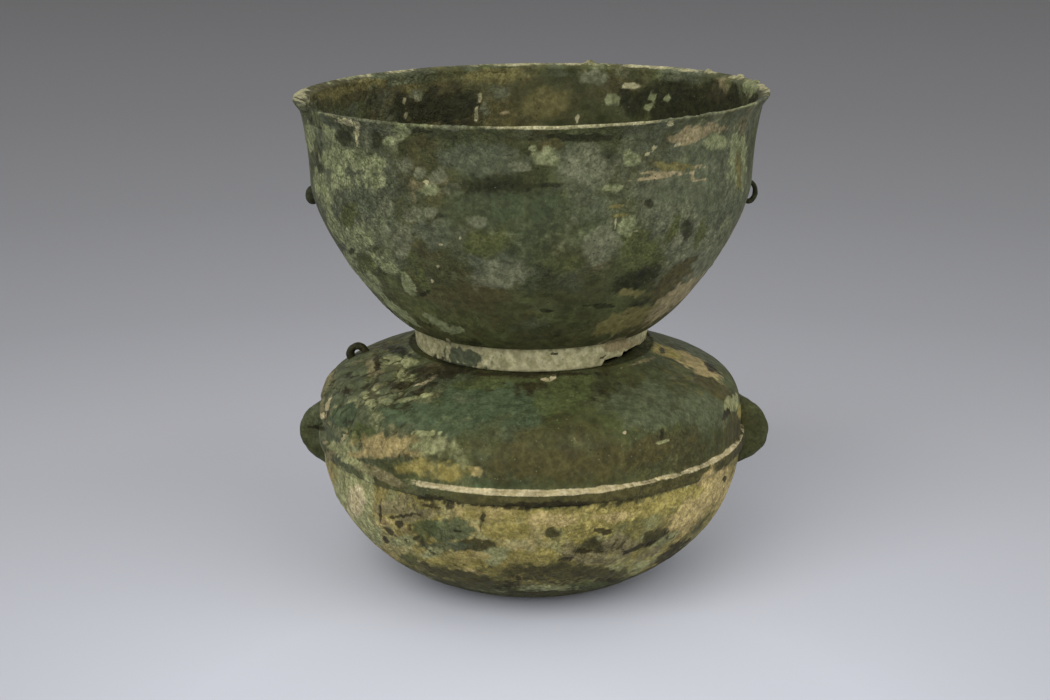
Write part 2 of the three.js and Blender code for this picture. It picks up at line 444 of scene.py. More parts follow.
def slot_share(angle, slots):
    """How far each angle is from the middle of its slot, in radians, and half a slot's part of the turn."""
    part = 2 * math.pi / slots["count"]
    local = (angle - math.radians(slots["turn"]) + part / 2) % part - part / 2
    return local, part / 2


def slot_columns(slots):
    """The angle of the columns that half a slot takes."""
    return slots["columns"] * 2 * math.pi / MEDIUM


def fit_slots(mesh):
    """Moves the floor's columns sideways so that some of them run along the sides of the slots."""
    near_floor = mesh.is_in("floor", "under")
    for slots in (OUTER_SLOTS, INNER_SLOTS):
        inside = near_floor & (mesh.r > slots["low"] - 0.1) & (mesh.r < slots["high"] + 0.1)
        local, half_part = slot_share(mesh.angle[inside], slots)
        edge = slot_columns(slots)
        half = np.arcsin(SLOT_W / 2 / mesh.r[inside])
        beyond = half + (np.abs(local) - edge) / (half_part - edge) * (half_part - half)
        moved = np.where(np.abs(local) <= edge, local / edge * half, np.sign(local) * beyond)
        mesh.angle[inside] += moved - local


def slot_cells(mesh, name):
    """The (ring, column) faces of one side of the floor that the slots take away."""
    taken = set()
    first = [i for i in range(len(mesh.columns)) if mesh.part[mesh.starts[i]] == mesh.names.index(name)]
    for i in first[:-1]:
        if mesh.columns[i] != MEDIUM or mesh.columns[i + 1] != MEDIUM:
            continue
        middle_r = (mesh.r[mesh.starts[i]] + mesh.r[mesh.starts[i + 1]]) / 2
        for slots in (OUTER_SLOTS, INNER_SLOTS):
            if not slots["low"] < middle_r < slots["high"]:
                continue
            middle = (np.arange(MEDIUM) + 0.5) * 2 * math.pi / MEDIUM
            local, _ = slot_share(middle, slots)
            taken |= {(i, int(j)) for j in np.where(np.abs(local) < slot_columns(slots))[0]}
    return taken


def slot_walls(mesh, taken):
    """Side walls of the slots, from the upper face of the floor to the lower one."""
    floor_rings = sorted({mesh.ring[v] for v in np.where(mesh.is_in("floor"))[0] if mesh.r[v] > 6})
    under_rings = sorted({mesh.ring[v] for v in np.where(mesh.is_in("under"))[0] if mesh.r[v] > 6})
    opposite = dict(zip(floor_rings, under_rings[::-1]))

    def pair(ring, column):
        column %= MEDIUM
        return mesh.starts[ring] + column, mesh.starts[opposite[ring]] + column

    walls = []
    for i, j in taken:
        sides = {
            (i - 1, j): ((i, j), (i, j + 1)),
            (i, (j + 1) % MEDIUM): ((i, j + 1), (i + 1, j + 1)),
            (i + 1, j): ((i + 1, j + 1), (i + 1, j)),
            (i, (j - 1) % MEDIUM): ((i + 1, j), (i, j)),
        }
        for neighbour, (a, b) in sides.items():
            if neighbour not in taken:
                (a_top, a_low), (b_top, b_low) = pair(*a), pair(*b)
                walls.append([a_top, b_top, b_low, a_low])
    return walls


# Forms added to the vessels


def is_outward(points, faces):
    """True if a closed mesh has its faces turned outward."""
    volume = 0.0
    for face in faces:
        a = points[face[0]]
        for b, c in zip(face[1:-1], face[2:]):
            volume += np.dot(a, np.cross(points[b], points[c]))
    return volume > 0


def capped(first, rows, last):
    """A closed mesh through rows of points between two end points."""
    count, columns, _ = rows.shape
    points = np.concatenate([[first], rows.reshape(-1, 3), [last]])
    end = len(points) - 1
    faces = []
    for j in range(columns):
        after = (j + 1) % columns
        faces.append([0, 1 + after, 1 + j])
        faces.append([end, end - columns + j, end - columns + after])
        for i in range(count - 1):
            a, b = 1 + i * columns, 1 + (i + 1) * columns
            faces.append([a + j, a + after, b + after, b + j])
    if not is_outward(points, faces):
        faces = [face[::-1] for face in faces]
    return points, faces


def pillow(outline, centre, thick):
    """A flat form with rounded edges inside a closed outline of (x, z), lying across Y = 0."""
    reach = np.concatenate([np.linspace(0.12, 0.86, 11), np.linspace(0.9, 1.0, 6)])
    outline, centre = np.array(outline), np.array(centre)
    rows = []
    for side in (1, -1):
        for share in reach if side > 0 else reach[-2::-1]:
            flat = centre + share * (outline - centre)
            high = side * thick / 2 * (1 - share ** 5) ** 0.5
            rows.append(np.stack([flat[:, 0], np.full(len(flat), high), flat[:, 1]], 1))
    first = (centre[0], thick / 2, centre[1])
    last = (centre[0], -thick / 2, centre[1])
    return capped(first, np.array(rows), last)


def tube(path, radius, turn):
    """A bent rod with round ends: path is points of (out, up) in the plane at an angle round Z."""
    path = spaced(path, 0.45)
    tangent = np.gradient(path, axis=0)
    tangent /= np.linalg.norm(tangent, axis=1)[:, None]
    side = np.stack([-tangent[:, 1], tangent[:, 0]], 1)
    around = np.linspace(0, 2 * math.pi, 24, endpoint=False)
    along = np.linspace(0, 1, len(path))
    girth = radius * np.clip(1 - np.abs(2 * along - 1) ** 14, 0.12, 1) ** 0.5
    flat = path[:, None] + girth[:, None, None] * np.cos(around)[None, :, None] * side[:, None]
    across = girth[:, None] * np.sin(around)[None]
    rows = turned_points(flat[..., 0], across, flat[..., 1], turn)
    ends = [turned_points(*(path[k][0], 0.0, path[k][1]), turn) for k in (0, -1)]
    return capped(ends[0], rows, ends[1])


def turned_points(out, across, up, turn):
    """Places from distances out from the axis, across and up, in the plane at an angle round Z."""
    c, s = math.cos(math.radians(turn)), math.sin(math.radians(turn))
    return np.stack([out * c - across * s, out * s + across * c, up + 0 * out], -1)


def radius_at(profile, z):
    order = np.argsort(profile[:, 1])
    return np.interp(z, profile[order, 1], profile[order, 0])


def height_at(profile, r):
    order = np.argsort(profile[:, 0])
    return np.interp(r, profile[order, 0], profile[order, 1])


def lug(outline, side):
    """An ear lug from points of (out from the flange, up from its middle), rooted in the wall."""
    middle = BELLY_H + (FLANGE_TOP - BELLY_H) / 2
    wall = np.concatenate([pot_belly(), pot_shoulder()])
    edge = rounded([(FLANGE_R + out, middle + up) for out, up in outline], 3)
    back = np.linspace(edge[-1][1], edge[0][1], 30)[1:-1]
    root = np.stack([radius_at(wall, back) - WALL / 2, back], 1)
    loop = np.concatenate([edge, root, edge[:1]])
    loop = spaced(loop, 0.9)[:-1]
    centre = (FLANGE_R + 0.5, middle)
    return pillow(loop * (side, 1), (centre[0] * side, centre[1]), LUG_T)


def knob():
    """The small curled loop on the left of the shoulder."""
    shoulder = pot_shoulder()
    slope = math.atan2(height_at(shoulder, KNOB_FROM_AXIS + 2) - height_at(shoulder, KNOB_FROM_AXIS - 2), 4)
    z = height_at(shoulder, KNOB_FROM_AXIS) + KNOB_WIRE / 2
    angles = np.linspace(-KNOB_CURL, math.pi + KNOB_CURL, 40) + slope
    path = np.stack([KNOB_FROM_AXIS + KNOB_R * np.cos(angles), z + KNOB_R * np.sin(angles)], 1)
    return tube(path, KNOB_WIRE, KNOB_TURN)


def holder_loop():
    """What is left of the right ring holder."""
    z = FOOT_TOP_Z + HOLDER_UP
    wall_r = radius_at(bowl_outside(), z)
    angles = np.linspace(-LOOP_OPEN, LOOP_OPEN, 40)
    out = wall_r + LOOP_OUT + LOOP_R * LOOP_NARROW * np.cos(angles)
    return tube(np.stack([out, z + LOOP_R / LOOP_NARROW * np.sin(angles)], 1), LOOP_WIRE, 0)


def holder_stub():
    """What is left of the left ring holder."""
    z = FOOT_TOP_Z + HOLDER_UP
    wall_r = radius_at(bowl_outside(), z)
    rise = np.linspace(-STUB_END, STUB_END, 22) * math.pi / 2
    around = np.linspace(0, 2 * math.pi, 40, endpoint=False)
    rows = np.stack([
        STUB[0] * np.cos(rise)[:, None] * np.cos(around)[None],
        STUB[1] * np.cos(rise)[:, None] * np.sin(around)[None],
        STUB[2] * np.sin(rise)[:, None] * np.ones(len(around))[None],
    ], -1)
    centre = np.array([-wall_r - STUB_OUT, 0, z])
    ends = [centre + (0, 0, STUB[2] * sign) for sign in (-1, 1)]
    return capped(ends[0], rows + centre, ends[1])


# Skins: points and directions of a whole vessel, and where the photograph shows them


def face_directions(points, faces):
    """Outward direction at each point of a mesh."""
    total = np.zeros_like(points)
    for size in {len(face) for face in faces}:
        group = np.array([face for face in faces if len(face) == size])
        for k in range(1, size - 1):
            a, b, c = points[group[:, 0]], points[group[:, k]], points[group[:, k + 1]]
            normal = np.cross(b - a, c - a)
            for corner in (0, k, k + 1):
                np.add.at(total, group[:, corner], normal)
    return total / np.maximum(np.linalg.norm(total, axis=1), 1e-9)[:, None]


def project(points):
    """Where points fall in the photograph, and how far from the camera they are."""
    away = points - CAMERA_PLACE
    c, s = math.cos(CAMERA_PITCH), math.sin(CAMERA_PITCH)
    depth = away[:, 1] * c - away[:, 2] * s
    up = away[:, 2] * c + away[:, 1] * s
    return (
        PHOTO_W / 2 + CAMERA_FOCAL_PX * away[:, 0] / depth,
        PHOTO_H / 2 - CAMERA_FOCAL_PX * up / depth,
        depth,
    )


# Pigments, from the one laid first to the one laid last; the dark one also lays painted shade and shadow in
# places
LAYERS = ("brown", "yellow", "teal", "green", "slate", "grey", "sage", "tan", "cream", "dark")

# What counts as the point at a pixel: how far it faces the camera, how many pixels off, how deep in mm
FACING_LEAST = 0.02
SAME_PX = 2.5
SAME_DEPTH = 8.0
FAR_OFF_PX = 1000.0

# How far a patch may run in depth: millimetres for each pixel of its size, and a little more
REACH = 1.7
REACH_MORE = 3.0
# Where the surface turns away from the camera a patch fades: where it is gone, and how fast it goes
FADE_FROM = -0.1
FADE = 8.0
OUTSIDE = -9.0
# A patch's ragged edge: its noise in mm for so many pixels of size, the least, and how far it goes
GRAIN, GRAIN_PX, GRAIN_LEAST = 4.0, 8, 2.5
GRAIN_SEED = 61
RAGGED, RAGGED_SMALL, SMALL_PX = 0.5, 0.7, 4
FULL = 0.6
# A patch at least this wide doesn't clear the pigments over it
WIDE_PX = 25
# Darkest and lightest tone
TONES = (0.4, 1.8)


class Skin:
    """Points of one vessel with their directions, their pixels in the photograph and their pigments."""

    def __init__(self, mesh, faces, added):
        points, directions = [mesh.places()], [mesh.directions()]
        self.faces = list(faces)
        self.kind = np.array(mesh.names)[mesh.part]
        start = len(points[0])
        for name, (more, more_faces) in added.items():
            points.append(more)
            directions.append(face_directions(more, more_faces))
            self.kind = np.concatenate([self.kind, np.full(len(more), name)])
            self.faces += [[start + v for v in face] for face in more_faces]
            start += len(more)
        self.points = np.concatenate(points)
        self.directions = np.concatenate(directions)
        self.amounts = {}
        self.grains = {}

    def is_in(self, *names):
        return np.isin(self.kind, names)

    def look(self):
        """Works out the pixel of each point in the photograph, and whether it faces the camera."""
        away = self.points - CAMERA_PLACE
        self.px, self.py, self.depth = project(self.points)
        self.facing = -(away * self.directions).sum(1) / np.linalg.norm(away, axis=1)

    def find(self, pixel):
        """The point that the photograph shows at a pixel."""
        off = np.hypot(self.px - pixel[0], self.py - pixel[1])
        off += FAR_OFF_PX * (self.facing < FACING_LEAST)
        near = np.where(off < off.min() + SAME_PX)[0]
        front = near[self.depth[near] < self.depth[near].min() + SAME_DEPTH]
        return front[np.argmin(off[front])]

    def near(self, pixel, size, turn=0.0):
        """1 at a pixel's place on the surface, 0 at a half width and half height from it, then below 0.

        Size and turn are as the photograph shows them."""
        centre = self.find(pixel)
        c, s = math.cos(math.radians(turn)), math.sin(math.radians(turn))
        u, v = self.px - self.px[centre], self.py - self.py[centre]
        seen = np.hypot((u * c + v * s) / size[0], (v * c - u * s) / size[1])
        away = np.linalg.norm(self.points - self.points[centre], axis=1) / (REACH * max(size) + REACH_MORE)
        value = np.minimum(1 - np.maximum(seen, away), FADE * (self.facing - FADE_FROM))
        return np.where(self.directions @ self.directions[centre] > 0, value, OUTSIDE)

    def paint(self, patches):
        """Lays pigments on the surface. An amount of 0.5 is a pigment's edge, which the shader breaks up.

        A patch clears the pigments that would lie over it, unless it is a wide one."""
        for pigment, pixel, size, turn, amount in patches.values():
            grain = max(GRAIN_LEAST, GRAIN * round(min(size) / GRAIN_PX))
            if grain not in self.grains:
                self.grains[grain] = cloud(self.points, grain, GRAIN_SEED, 3)
            ragged = (RAGGED if min(size) > SMALL_PX else RAGGED_SMALL) * self.grains[grain]
            value = np.clip(self.near(pixel, size, turn) + ragged, -1, FULL) * amount
            self.amounts[pigment] = np.maximum(self.amounts[pigment], np.clip(0.5 + value, 0, 1))
            if min(size) < WIDE_PX:
                for name in LAYERS[LAYERS.index(pigment) + 1:]:
                    self.amounts[name] = np.minimum(self.amounts[name], np.clip(0.5 - value, 0, 1))


def toned(skin, shades, tone, spread):
    """How light the surface is painted at each point: wide soft areas, some of them painted shade, and
    plates that differ by a spread.
    """
    light = 1 + spread * (tone - 0.5)
    for pixel, size, amount in shades.values():
        light += amount * np.exp(-np.clip(1 - skin.near(pixel, size), 0, 4) ** 2)
    return np.clip(light, *TONES)


def plates(points, size, seed):
    """Crust broken into plates: its height from 0 to 1, the crevices, and a tone for each plate."""
    bend = np.stack([cloud(points, 1.2 * size, seed + 20 + k, 3) for k in range(3)], 1)
    _, edge, name = cells(points + 0.55 * size * bend, size, seed)
    return (0.3 + 0.7 * name) * step(0.02, 0.24, edge), 1 - step(0.0, 0.16, edge), name


# Bowl

# Where the photograph shows the front lip's pale line to begin and end
LIP_LINE_PX = (430, 668)

# How far noise moves the pigments from their levels, and the cream
WILD = 0.46
CREAM_WILD = 0.30
# Pigment: level all over, size of its clouds in mm, their seed, and what each area of the vessel adds
BOWL_PIGMENTS = {
    "brown": (0.32, 30, 31, {"inner": 0.16, "low": 0.08}),
    "yellow": (0.10, 26, 27, {"inner": 0.10, "low_right": 0.06}),
    "teal": (0.34, 32, 21, {"inner": -0.25, "low": -0.25, "left": -0.1}),
    "green": (0.24, 26, 23, {"inner": -0.1, "low": 0.1}),
    "slate": (0.34, 24, 25, {"inner": -0.3, "low": -0.25, "left": 0.3, "right": 0.15}),
    "grey": (0.14, 20, 43, {"low": -0.2, "left": 0.16, "right": 0.1, "inner": -0.1}),
    "sage": (0.14, 22, 11, {"left": 0.12, "low": -0.25, "inner": -0.2}),
    "tan": (0.04, 30, 41, {"low": -0.2, "right": 0.1}),
    "cream": (0.02, 14, 45, {"foot": 0.72, "rim": 0.46}),
    "dark": (0.14, 15, 51, {"low": 0.06, "inner": 0.06, "foot": -0.2}),
}

# Patches, laid in this order: pigment, pixel in the photograph, half width and half height in pixels,
# turn in degrees with the right end going down, amount
BOWL_PATCHES = {
    "wide_left": ("slate", (352, 200), (50, 66), 0, 0.8),
    "wide_right": ("slate", (700, 185), (56, 60), 0, 0.7),
    "wide_right_grey": ("grey", (690, 240), (40, 40), 0, 0.35),
    "lip_end": ("cream", (303, 96), (14, 7), 0, 1.0),
    "lip_grey_left": ("grey", (362, 115), (36, 4), 10, 1.0),
    "lip_sage": ("sage", (424, 124), (13, 3), 0, 1.0),
    "lip_grey": ("grey", (456, 125), (20, 4), 0, 0.8),
    "lip_notch": ("dark", (421, 131), (10, 2.6), 0, 1.0),
    "lip_right": ("grey", (690, 116), (40, 5), -12, 0.8),
    "lip_right_end": ("sage", (745, 103), (14, 8), 20, 0.9),
    "lip_speck": ("cream", (671, 124), (3, 2.4), 0, 1.0),
    # Painted shadow under the lip
    "shadow_under_lip": ("dark", (580, 138), (44, 4), 0, 0.9),
    "under_lip_brown": ("brown", (550, 145), (13, 6), 0, 1.0),
    "wall_end_white": ("cream", (307, 112), (2.6, 4), 0, 1.0),
    "wall_end": ("sage", (314, 113), (7, 6), 0, 1.0),
    "wall_end_low": ("sage", (318, 123), (6, 5), 0, 1.0),
    "edge_pale": ("sage", (310, 137), (5, 15), 0, 1.0),
    "edge_dark": ("dark", (320, 168), (4, 20), 0, 0.5),
    "branch": ("sage", (334, 137), (19, 4.5), 52, 1.0),
    "neck_sage": ("sage", (343, 160), (20, 12), 0, 1.0),
    "neck_sage_right": ("sage", (370, 163), (17, 9), 6, 1.0),
    "neck_fringe": ("sage", (370, 181), (16, 7), 0, 0.8),
    "neck_low": ("sage", (338, 183), (10, 9), 0, 0.8),
    "neck_drip": ("cream", (372, 197), (2, 5), 0, 0.9),
    # This and the next: painted shade of recesses in the crust
    "recess_shade": ("dark", (345, 137), (8, 9), 0, 0.7),
    "recess_shade_right": ("dark", (377, 138), (7, 8), 0, 0.4),
    "drip_top": ("cream", (349, 123), (11, 3), 14, 1.0),
    "drip_white": ("cream", (357, 133), (2.8, 12), 0, 1.0),
    "drip_grey": ("grey", (366, 138), (2, 12), 0, 1.0),
    "drip_grey_right": ("grey", (389, 132), (2, 9), 0, 1.0),
    "blob_lip": ("sage", (403, 130), (9, 7), 0, 0.9),
    "blob_lip_left": ("sage", (390, 142), (7, 6), 0, 0.6),
    "nodule_one": ("grey", (405, 166), (7, 7), 0, 0.8),
    "nodule_two": ("grey", (420, 173), (7, 6), 0, 0.8),
    "nodule_three": ("grey", (439, 176), (9, 8), 0, 0.8),
    "nodule_four": ("sage", (431, 189), (7, 6), 0, 0.7),
    "nodule_five": ("grey", (413, 214), (9, 8), 0, 0.8),
    "nodule_six": ("grey", (432, 214), (8, 6), 0, 0.7),
    "nodule_seven": ("grey", (452, 190), (10, 7), 0, 0.6),
    "nodule_eight": ("grey", (385, 208), (9, 7), 0, 0.6),
    "nodule_white": ("cream", (425, 183), (2.6, 2.6), 0, 1.0),
    "slate_left": ("slate", (358, 202), (20, 18), 0, 0.8),
    "slate_upper": ("slate", (478, 160), (42, 16), 0, 0.8),
    "slate_plate": ("slate", (434, 232), (20, 15), 0, 0.9),
    "teal_dark": ("teal", (492, 205), (44, 24), 0, 0.7),
    "teal_light": ("teal", (545, 212), (24, 24), 0, 0.8),
    "middle_dark": ("dark", (500, 186), (40, 9), 0, 0.42),
    "middle_line": ("dark", (551, 184), (16, 2.2), 0, 0.9),
    "specks_middle": ("grey", (520, 168), (10, 5), 0, 0.6),
    "specks_middle_low": ("grey", (478, 222), (9, 6), 0, 0.5),
    "green_middle_low": ("green", (480, 245), (26, 14), 0, 0.7),
    "pale_middle": ("grey", (587, 165), (28, 20), 0, 0.7),
    "pale_middle_left": ("sage", (545, 158), (12, 8), 0, 0.5),
    "pale_speck": ("sage", (533, 147), (5, 3), 0, 1.0),
    # The next five: pale patina and painted light along the left outline of the bowl
    "lit_edge_strip": ("sage", (347, 230), (17, 4), 72, 1.0),
    "lit_edge_high": ("sage", (322, 190), (7, 20), -12, 0.9),
    "lit_edge_middle": ("sage", (336, 226), (20, 5), 66, 0.9),
    "lit_edge_low": ("sage", (363, 276), (26, 5), 48, 0.9),
    "lit_edge_lowest": ("sage", (398, 311), (24, 4), 38, 0.8),
    "edge_ring": ("sage", (352, 251), (7, 8), 0, 1.0),
    "edge_ring_hole": ("dark", (352, 251), (2.6, 3), 0, 0.5),
    "edge_sage": ("sage", (362, 238), (10, 13), -20, 0.8),
    "edge_green": ("green", (368, 264), (10, 14), 0, 1.0),
    "edge_green_high": ("green", (348, 214), (9, 12), 0, 0.8),
    "grey_plate": ("grey", (402, 240), (11, 18), 6, 1.0),
    "low_left_sage": ("sage", (386, 263), (15, 8), 35, 0.8),
    "low_left_edge": ("sage", (374, 284), (16, 5), 50, 0.7),
    "blob_long": ("sage", (408, 284), (14, 5.5), 62, 1.0),
    "blob_green": ("green", (423, 281), (12, 6), 60, 1.0),
    "blob_outline": ("dark", (424, 295), (6, 2), -30, 0.9),
    "speck_one": ("cream", (440, 245), (3, 1.8), 0, 1.0),
    "speck_two": ("cream", (460, 239), (2, 2), 0, 0.9),
    "speck_three": ("cream", (438, 267), (2.2, 3), 0, 1.0),
    "speck_four": ("cream", (432, 281), (1.8, 3), 0, 0.9),
    "pale_low_middle": ("grey", (500, 274), (28, 14), 0, 0.65),
    "low_left_olive": ("green", (420, 309), (24, 9), 32, 1.0),
    "low_left_pale": ("sage", (437, 323), (15, 4), 32, 0.8),
    "low_left_spot": ("sage", (455, 330), (9, 4), 0, 0.7),
    "brown_middle": ("brown", (560, 250), (34, 28), 0, 0.5),
    "green_low": ("green", (566, 266), (20, 10), 0, 0.8),
    "green_right": ("green", (640, 250), (26, 20), 0, 0.7),
    "grey_right": ("grey", (600, 245), (17, 18), 0, 0.7),
    "dark_low": ("dark", (640, 280), (26, 10), -25, 0.42),
    "dark_line_low": ("dark", (600, 306), (14, 2.2), 0, 0.8),
    "dark_line_left": ("dark", (549, 312), (8, 2.2), 0, 0.8),
    "streak_tan": ("tan", (668, 172), (26, 2), 0, 1.0),
    "streak_pink": ("tan", (652, 178), (20, 1.6), -6, 1.0),
    "streak_high": ("tan", (692, 167), (14, 2.2), 0, 0.9),
    "streak_low": ("tan", (700, 181), (12, 1.6), 0, 0.9),
    "streak_yellow": ("yellow", (674, 165), (22, 4), 0, 0.8),
    "streak_sage": ("sage", (632, 160), (9, 8), 0, 0.8),
    "short_streak": ("sage", (615, 189), (9, 3), 0, 1.0),
    "short_streak_yellow": ("yellow", (615, 206), (9, 2.4), 0, 1.0),
    "short_streak_low": ("yellow", (618, 214), (9, 2), 0, 0.8),
    "short_line": ("cream", (615, 225), (1.3, 6), 0, 1.0),
    "speck_right": ("cream", (636, 231), (1.8, 2), 0, 1.0),
    "sage_right_middle": ("sage", (628, 228), (9, 10), 0, 0.6),
    "blue_grey": ("slate", (674, 193), (26, 11), 0, 1.0),
    "dark_ring": ("dark", (649, 203), (5, 5), 0, 0.8),
    "slate_right": ("slate", (712, 200), (26, 24), 0, 0.8),
    "pink_lip": ("tan", (698, 134), (28, 7), -12, 1.0),
    "pink_lip_left": ("tan", (682, 138), (14, 6), 0, 1.0),
    "white_one": ("cream", (653, 147), (3, 3), 0, 1.0),
    "white_two": ("cream", (649, 153), (2.6, 1.8), 0, 1.0),
    "white_three": ("cream", (677, 146), (2.6, 1.6), 0, 1.0),
    "sage_right_top": ("sage", (714, 142), (12, 8), 0, 0.8),
    # These two: pale patina and painted light along the right outline of the bowl
    "lit_right_edge": ("sage", (737, 160), (9, 28), 0, 0.8),
    "lit_right_edge_yellow": ("yellow", (739, 170), (3, 20), 0, 0.8),
    "stroke_left": ("green", (674, 228), (16, 5), -62, 1.0),
    "stroke_right": ("green", (701, 232), (14, 4), -70, 0.9),
    "stroke_dark": ("dark", (687, 228), (6, 9), 0, 0.6),
    "low_right": ("grey", (702, 262), (24, 12), -52, 0.9),
    "low_right_brown": ("brown", (672, 278), (30, 9), -44, 1.0),
    "low_right_edge": ("tan", (672, 300), (36, 7), -40, 0.8),
    "low_right_olive": ("yellow", (622, 322), (34, 9), -22, 0.9),
    "low_right_yellow": ("yellow", (630, 292), (12, 4), 0, 0.7),
    "inside_brown": ("brown", (342, 91), (42, 12), -3, 1.0),
    "inside_orange": ("yellow", (335, 93), (22, 5), -10, 0.8),
    "inside_ochre": ("yellow", (366, 83), (22, 5), -6, 0.9),
    "inside_ochre_top": ("yellow", (495, 77), (36, 8), 0, 0.7),
    "inside_dark": ("dark", (430, 106), (46, 17), 0, 0.9),
    "inside_grey": ("grey", (416, 94), (8, 5), 0, 1.0),
    "inside_drip_left": ("cream", (405, 103), (2.6, 4.5), 0, 1.0),
    "inside_drip_left_low": ("cream", (406, 114), (1.4, 4), 0, 1.0),
    "inside_drip": ("cream", (480, 101), (1.5, 5), 0, 1.0),
    "inside_drip_low": ("cream", (478, 114), (1.4, 8), 0, 1.0),
    "inside_drip_grey": ("grey", (485, 110), (4, 9), 0, 0.9),
    "inside_rock": ("grey", (505, 94), (8, 6), 0, 0.9),
    "inside_rock_low": ("tan", (507, 113), (5, 3), 0, 0.9),
    "inside_arch": ("yellow", (503, 77), (13, 2), 0, 1.0),
    "inside_olive": ("yellow", (545, 102), (26, 14), 0, 0.4),
    "inside_grey_top": ("grey", (594, 76), (14, 8), 0, 0.8),
    "inside_dark_right": ("dark", (690, 100), (66, 22), 0, 1.0),
    "inside_blob_one": ("sage", (613, 98), (8, 6), 0, 1.0),
    "inside_blob_two": ("cream", (634, 88), (8, 3), 6, 1.0),
    "inside_blob_three": ("sage", (655, 96), (4, 5), 0, 1.0),
    "inside_blob_four": ("sage", (668, 98), (4, 4), 0, 1.0),
    "inside_blob_five": ("sage", (648, 108), (4, 4.5), 0, 0.9),
    "inside_drip_middle": ("cream", (578, 117), (1.6, 5), 0, 1.0),
    "inside_pale_right": ("sage", (751, 88), (7, 9), 0, 1.0),
    "foot_bare_middle": ("dark", (437, 365), (9, 4), 20, 0.6),
    "foot_bare_left": ("slate", (463, 357), (19, 7), 10, 0.9),
    "foot_bare_low": ("slate", (462, 366), (22, 3), 12, 0.8),
    "foot_drip_one": ("cream", (430, 350), (4, 10), 0, 1.0),
    "foot_drip_two": ("cream", (440, 350), (3, 8), 0, 1.0),
    "foot_drip_three": ("cream", (448, 350), (2.6, 10), 0, 1.0),
    "foot_drip_four": ("cream", (487, 360), (5, 8), 0, 1.0),
    "foot_slit": ("dark", (554, 354), (3.6, 1.2), 0, 1.0),
    "foot_slit_right": ("dark", (603, 358), (3.4, 1.2), 0, 1.0),
    "foot_tan": ("tan", (622, 346), (20, 8), 0, 0.8),
}

# Wide areas painted lighter or darker, patina tone and in places painted shade: pixel, half width and half
# height in pixels, amount
BOWL_SHADES = {
    "left": ((345, 190), (40, 44), 0.12),
    "middle": ((505, 185), (40, 30), -0.12),
    "low_left": ((392, 275), (30, 24), 0.14),
    "right": ((700, 200), (40, 44), 0.14),
    # Painted shade on the underside of the bowl
    "bottom": ((520, 322), (70, 22), -0.10),
    "low_middle": ((560, 262), (36, 20), -0.2),
    "foot_left": ((450, 356), (30, 9), -0.2),
    # Darker inside the bowl
    "inside": ((520, 96), (60, 18), -0.12),
}

# Crust that stands out of the wall: pixel, width and height in mm
BOWL_LUMPS = {
    "back_rim": ((590, 63), 5.0, 2.6),
    "back_rim_right": ((603, 66), 4.0, 2.0),
    "rim_far_right": ((709, 71), 3.6, 1.8),
    "rim_right": ((740, 76), 4.4, 2.0),
    "rim_right_end": ((757, 81), 4.0, 1.4),
    "inside_one": ((615, 96), 4.5, 1.6),
    "inside_two": ((637, 89), 3.4, 1.4),
}


def add_lumps(skin, lift, lumps):
    for pixel, width, height in lumps.values():
        centre = skin.find(pixel)
        away = np.linalg.norm(skin.points - skin.points[centre], axis=1)
        same_side = skin.directions @ skin.directions[centre] > -0.3
        lift += height * np.exp(-((away / (0.62 * width)) ** 3)) * same_side


def break_lip(skin):
    """Takes away the outer part of the lip where it has broken off."""
    turn = math.radians(LIP_BREAK["turn"])
    x, y, z = skin.points.T
    out = x * math.cos(turn) + y * math.sin(turn)
    across = -x * math.sin(turn) + y * math.cos(turn)
    ragged = noise(skin.points, 5.0, 71)
    gone = skin.is_in("lip", "wall") & (out > 0) & (np.abs(across + 1.6 * ragged) < LIP_BREAK["half"])
    gone &= z > NECK_Z - 6
    r = np.hypot(x, y)
    limit = NECK_R - 0.2 + 0.7 * noise(skin.points, 3.0, 72)
    scale = np.where(gone & (r > limit), limit / np.maximum(r, 1), 1.0)
    skin.points[:, 0] *= scale
    skin.points[:, 1] *= scale
    return gone


def break_foot(skin):
    """Takes away the lower edge of the ring foot where it has broken off."""
    x, y, z = skin.points.T
    low = skin.is_in("foot", "foot_inside") & (z < FOOT_Z + FOOT_BREAK_TOP)
    rise = np.zeros(len(z))
    for turn, height in FOOT_BREAKS:
        a = math.radians(turn)
        across = np.abs(-x * math.sin(a) + y * math.cos(a)) / (FOOT_BREAK_W / 2)
        here = (x * math.cos(a) + y * math.sin(a) > 0) * step(1.1, 0.86, across)
        rise = np.maximum(rise, height * here)
    rise *= 1 + 0.22 * noise(skin.points, 4.5, 73)
    share = np.clip((z - FOOT_Z) / FOOT_BREAK_TOP, 0, 1)
    skin.points[:, 2] = np.where(low, FOOT_Z + rise + share * (FOOT_BREAK_TOP - rise), z)
    return rise * (1 - share) * low


def lean(skin):
    """Tilts the rim as in the solid."""
    share = np.clip((skin.points[:, 2] - FOOT_TOP_Z) / (RIM_Z - FOOT_TOP_Z), 0, 1)
    skin.points[:, 2] += RIM_LEAN * skin.points[:, 0] / RIM_R * share


def first_amounts(points, pigments, areas, wild):
    """How much of each pigment lies at each point before any patch does."""
    amounts = {}
    for pigment, (level, size, seed, parts) in pigments.items():
        spread = CREAM_WILD if pigment == "cream" else wild
        amount = level + spread * cloud(points, size, seed)
        for area, share in parts.items():
            amount = amount + share * areas[area]
        amounts[pigment] = np.clip(amount, 0, 1)
    return amounts


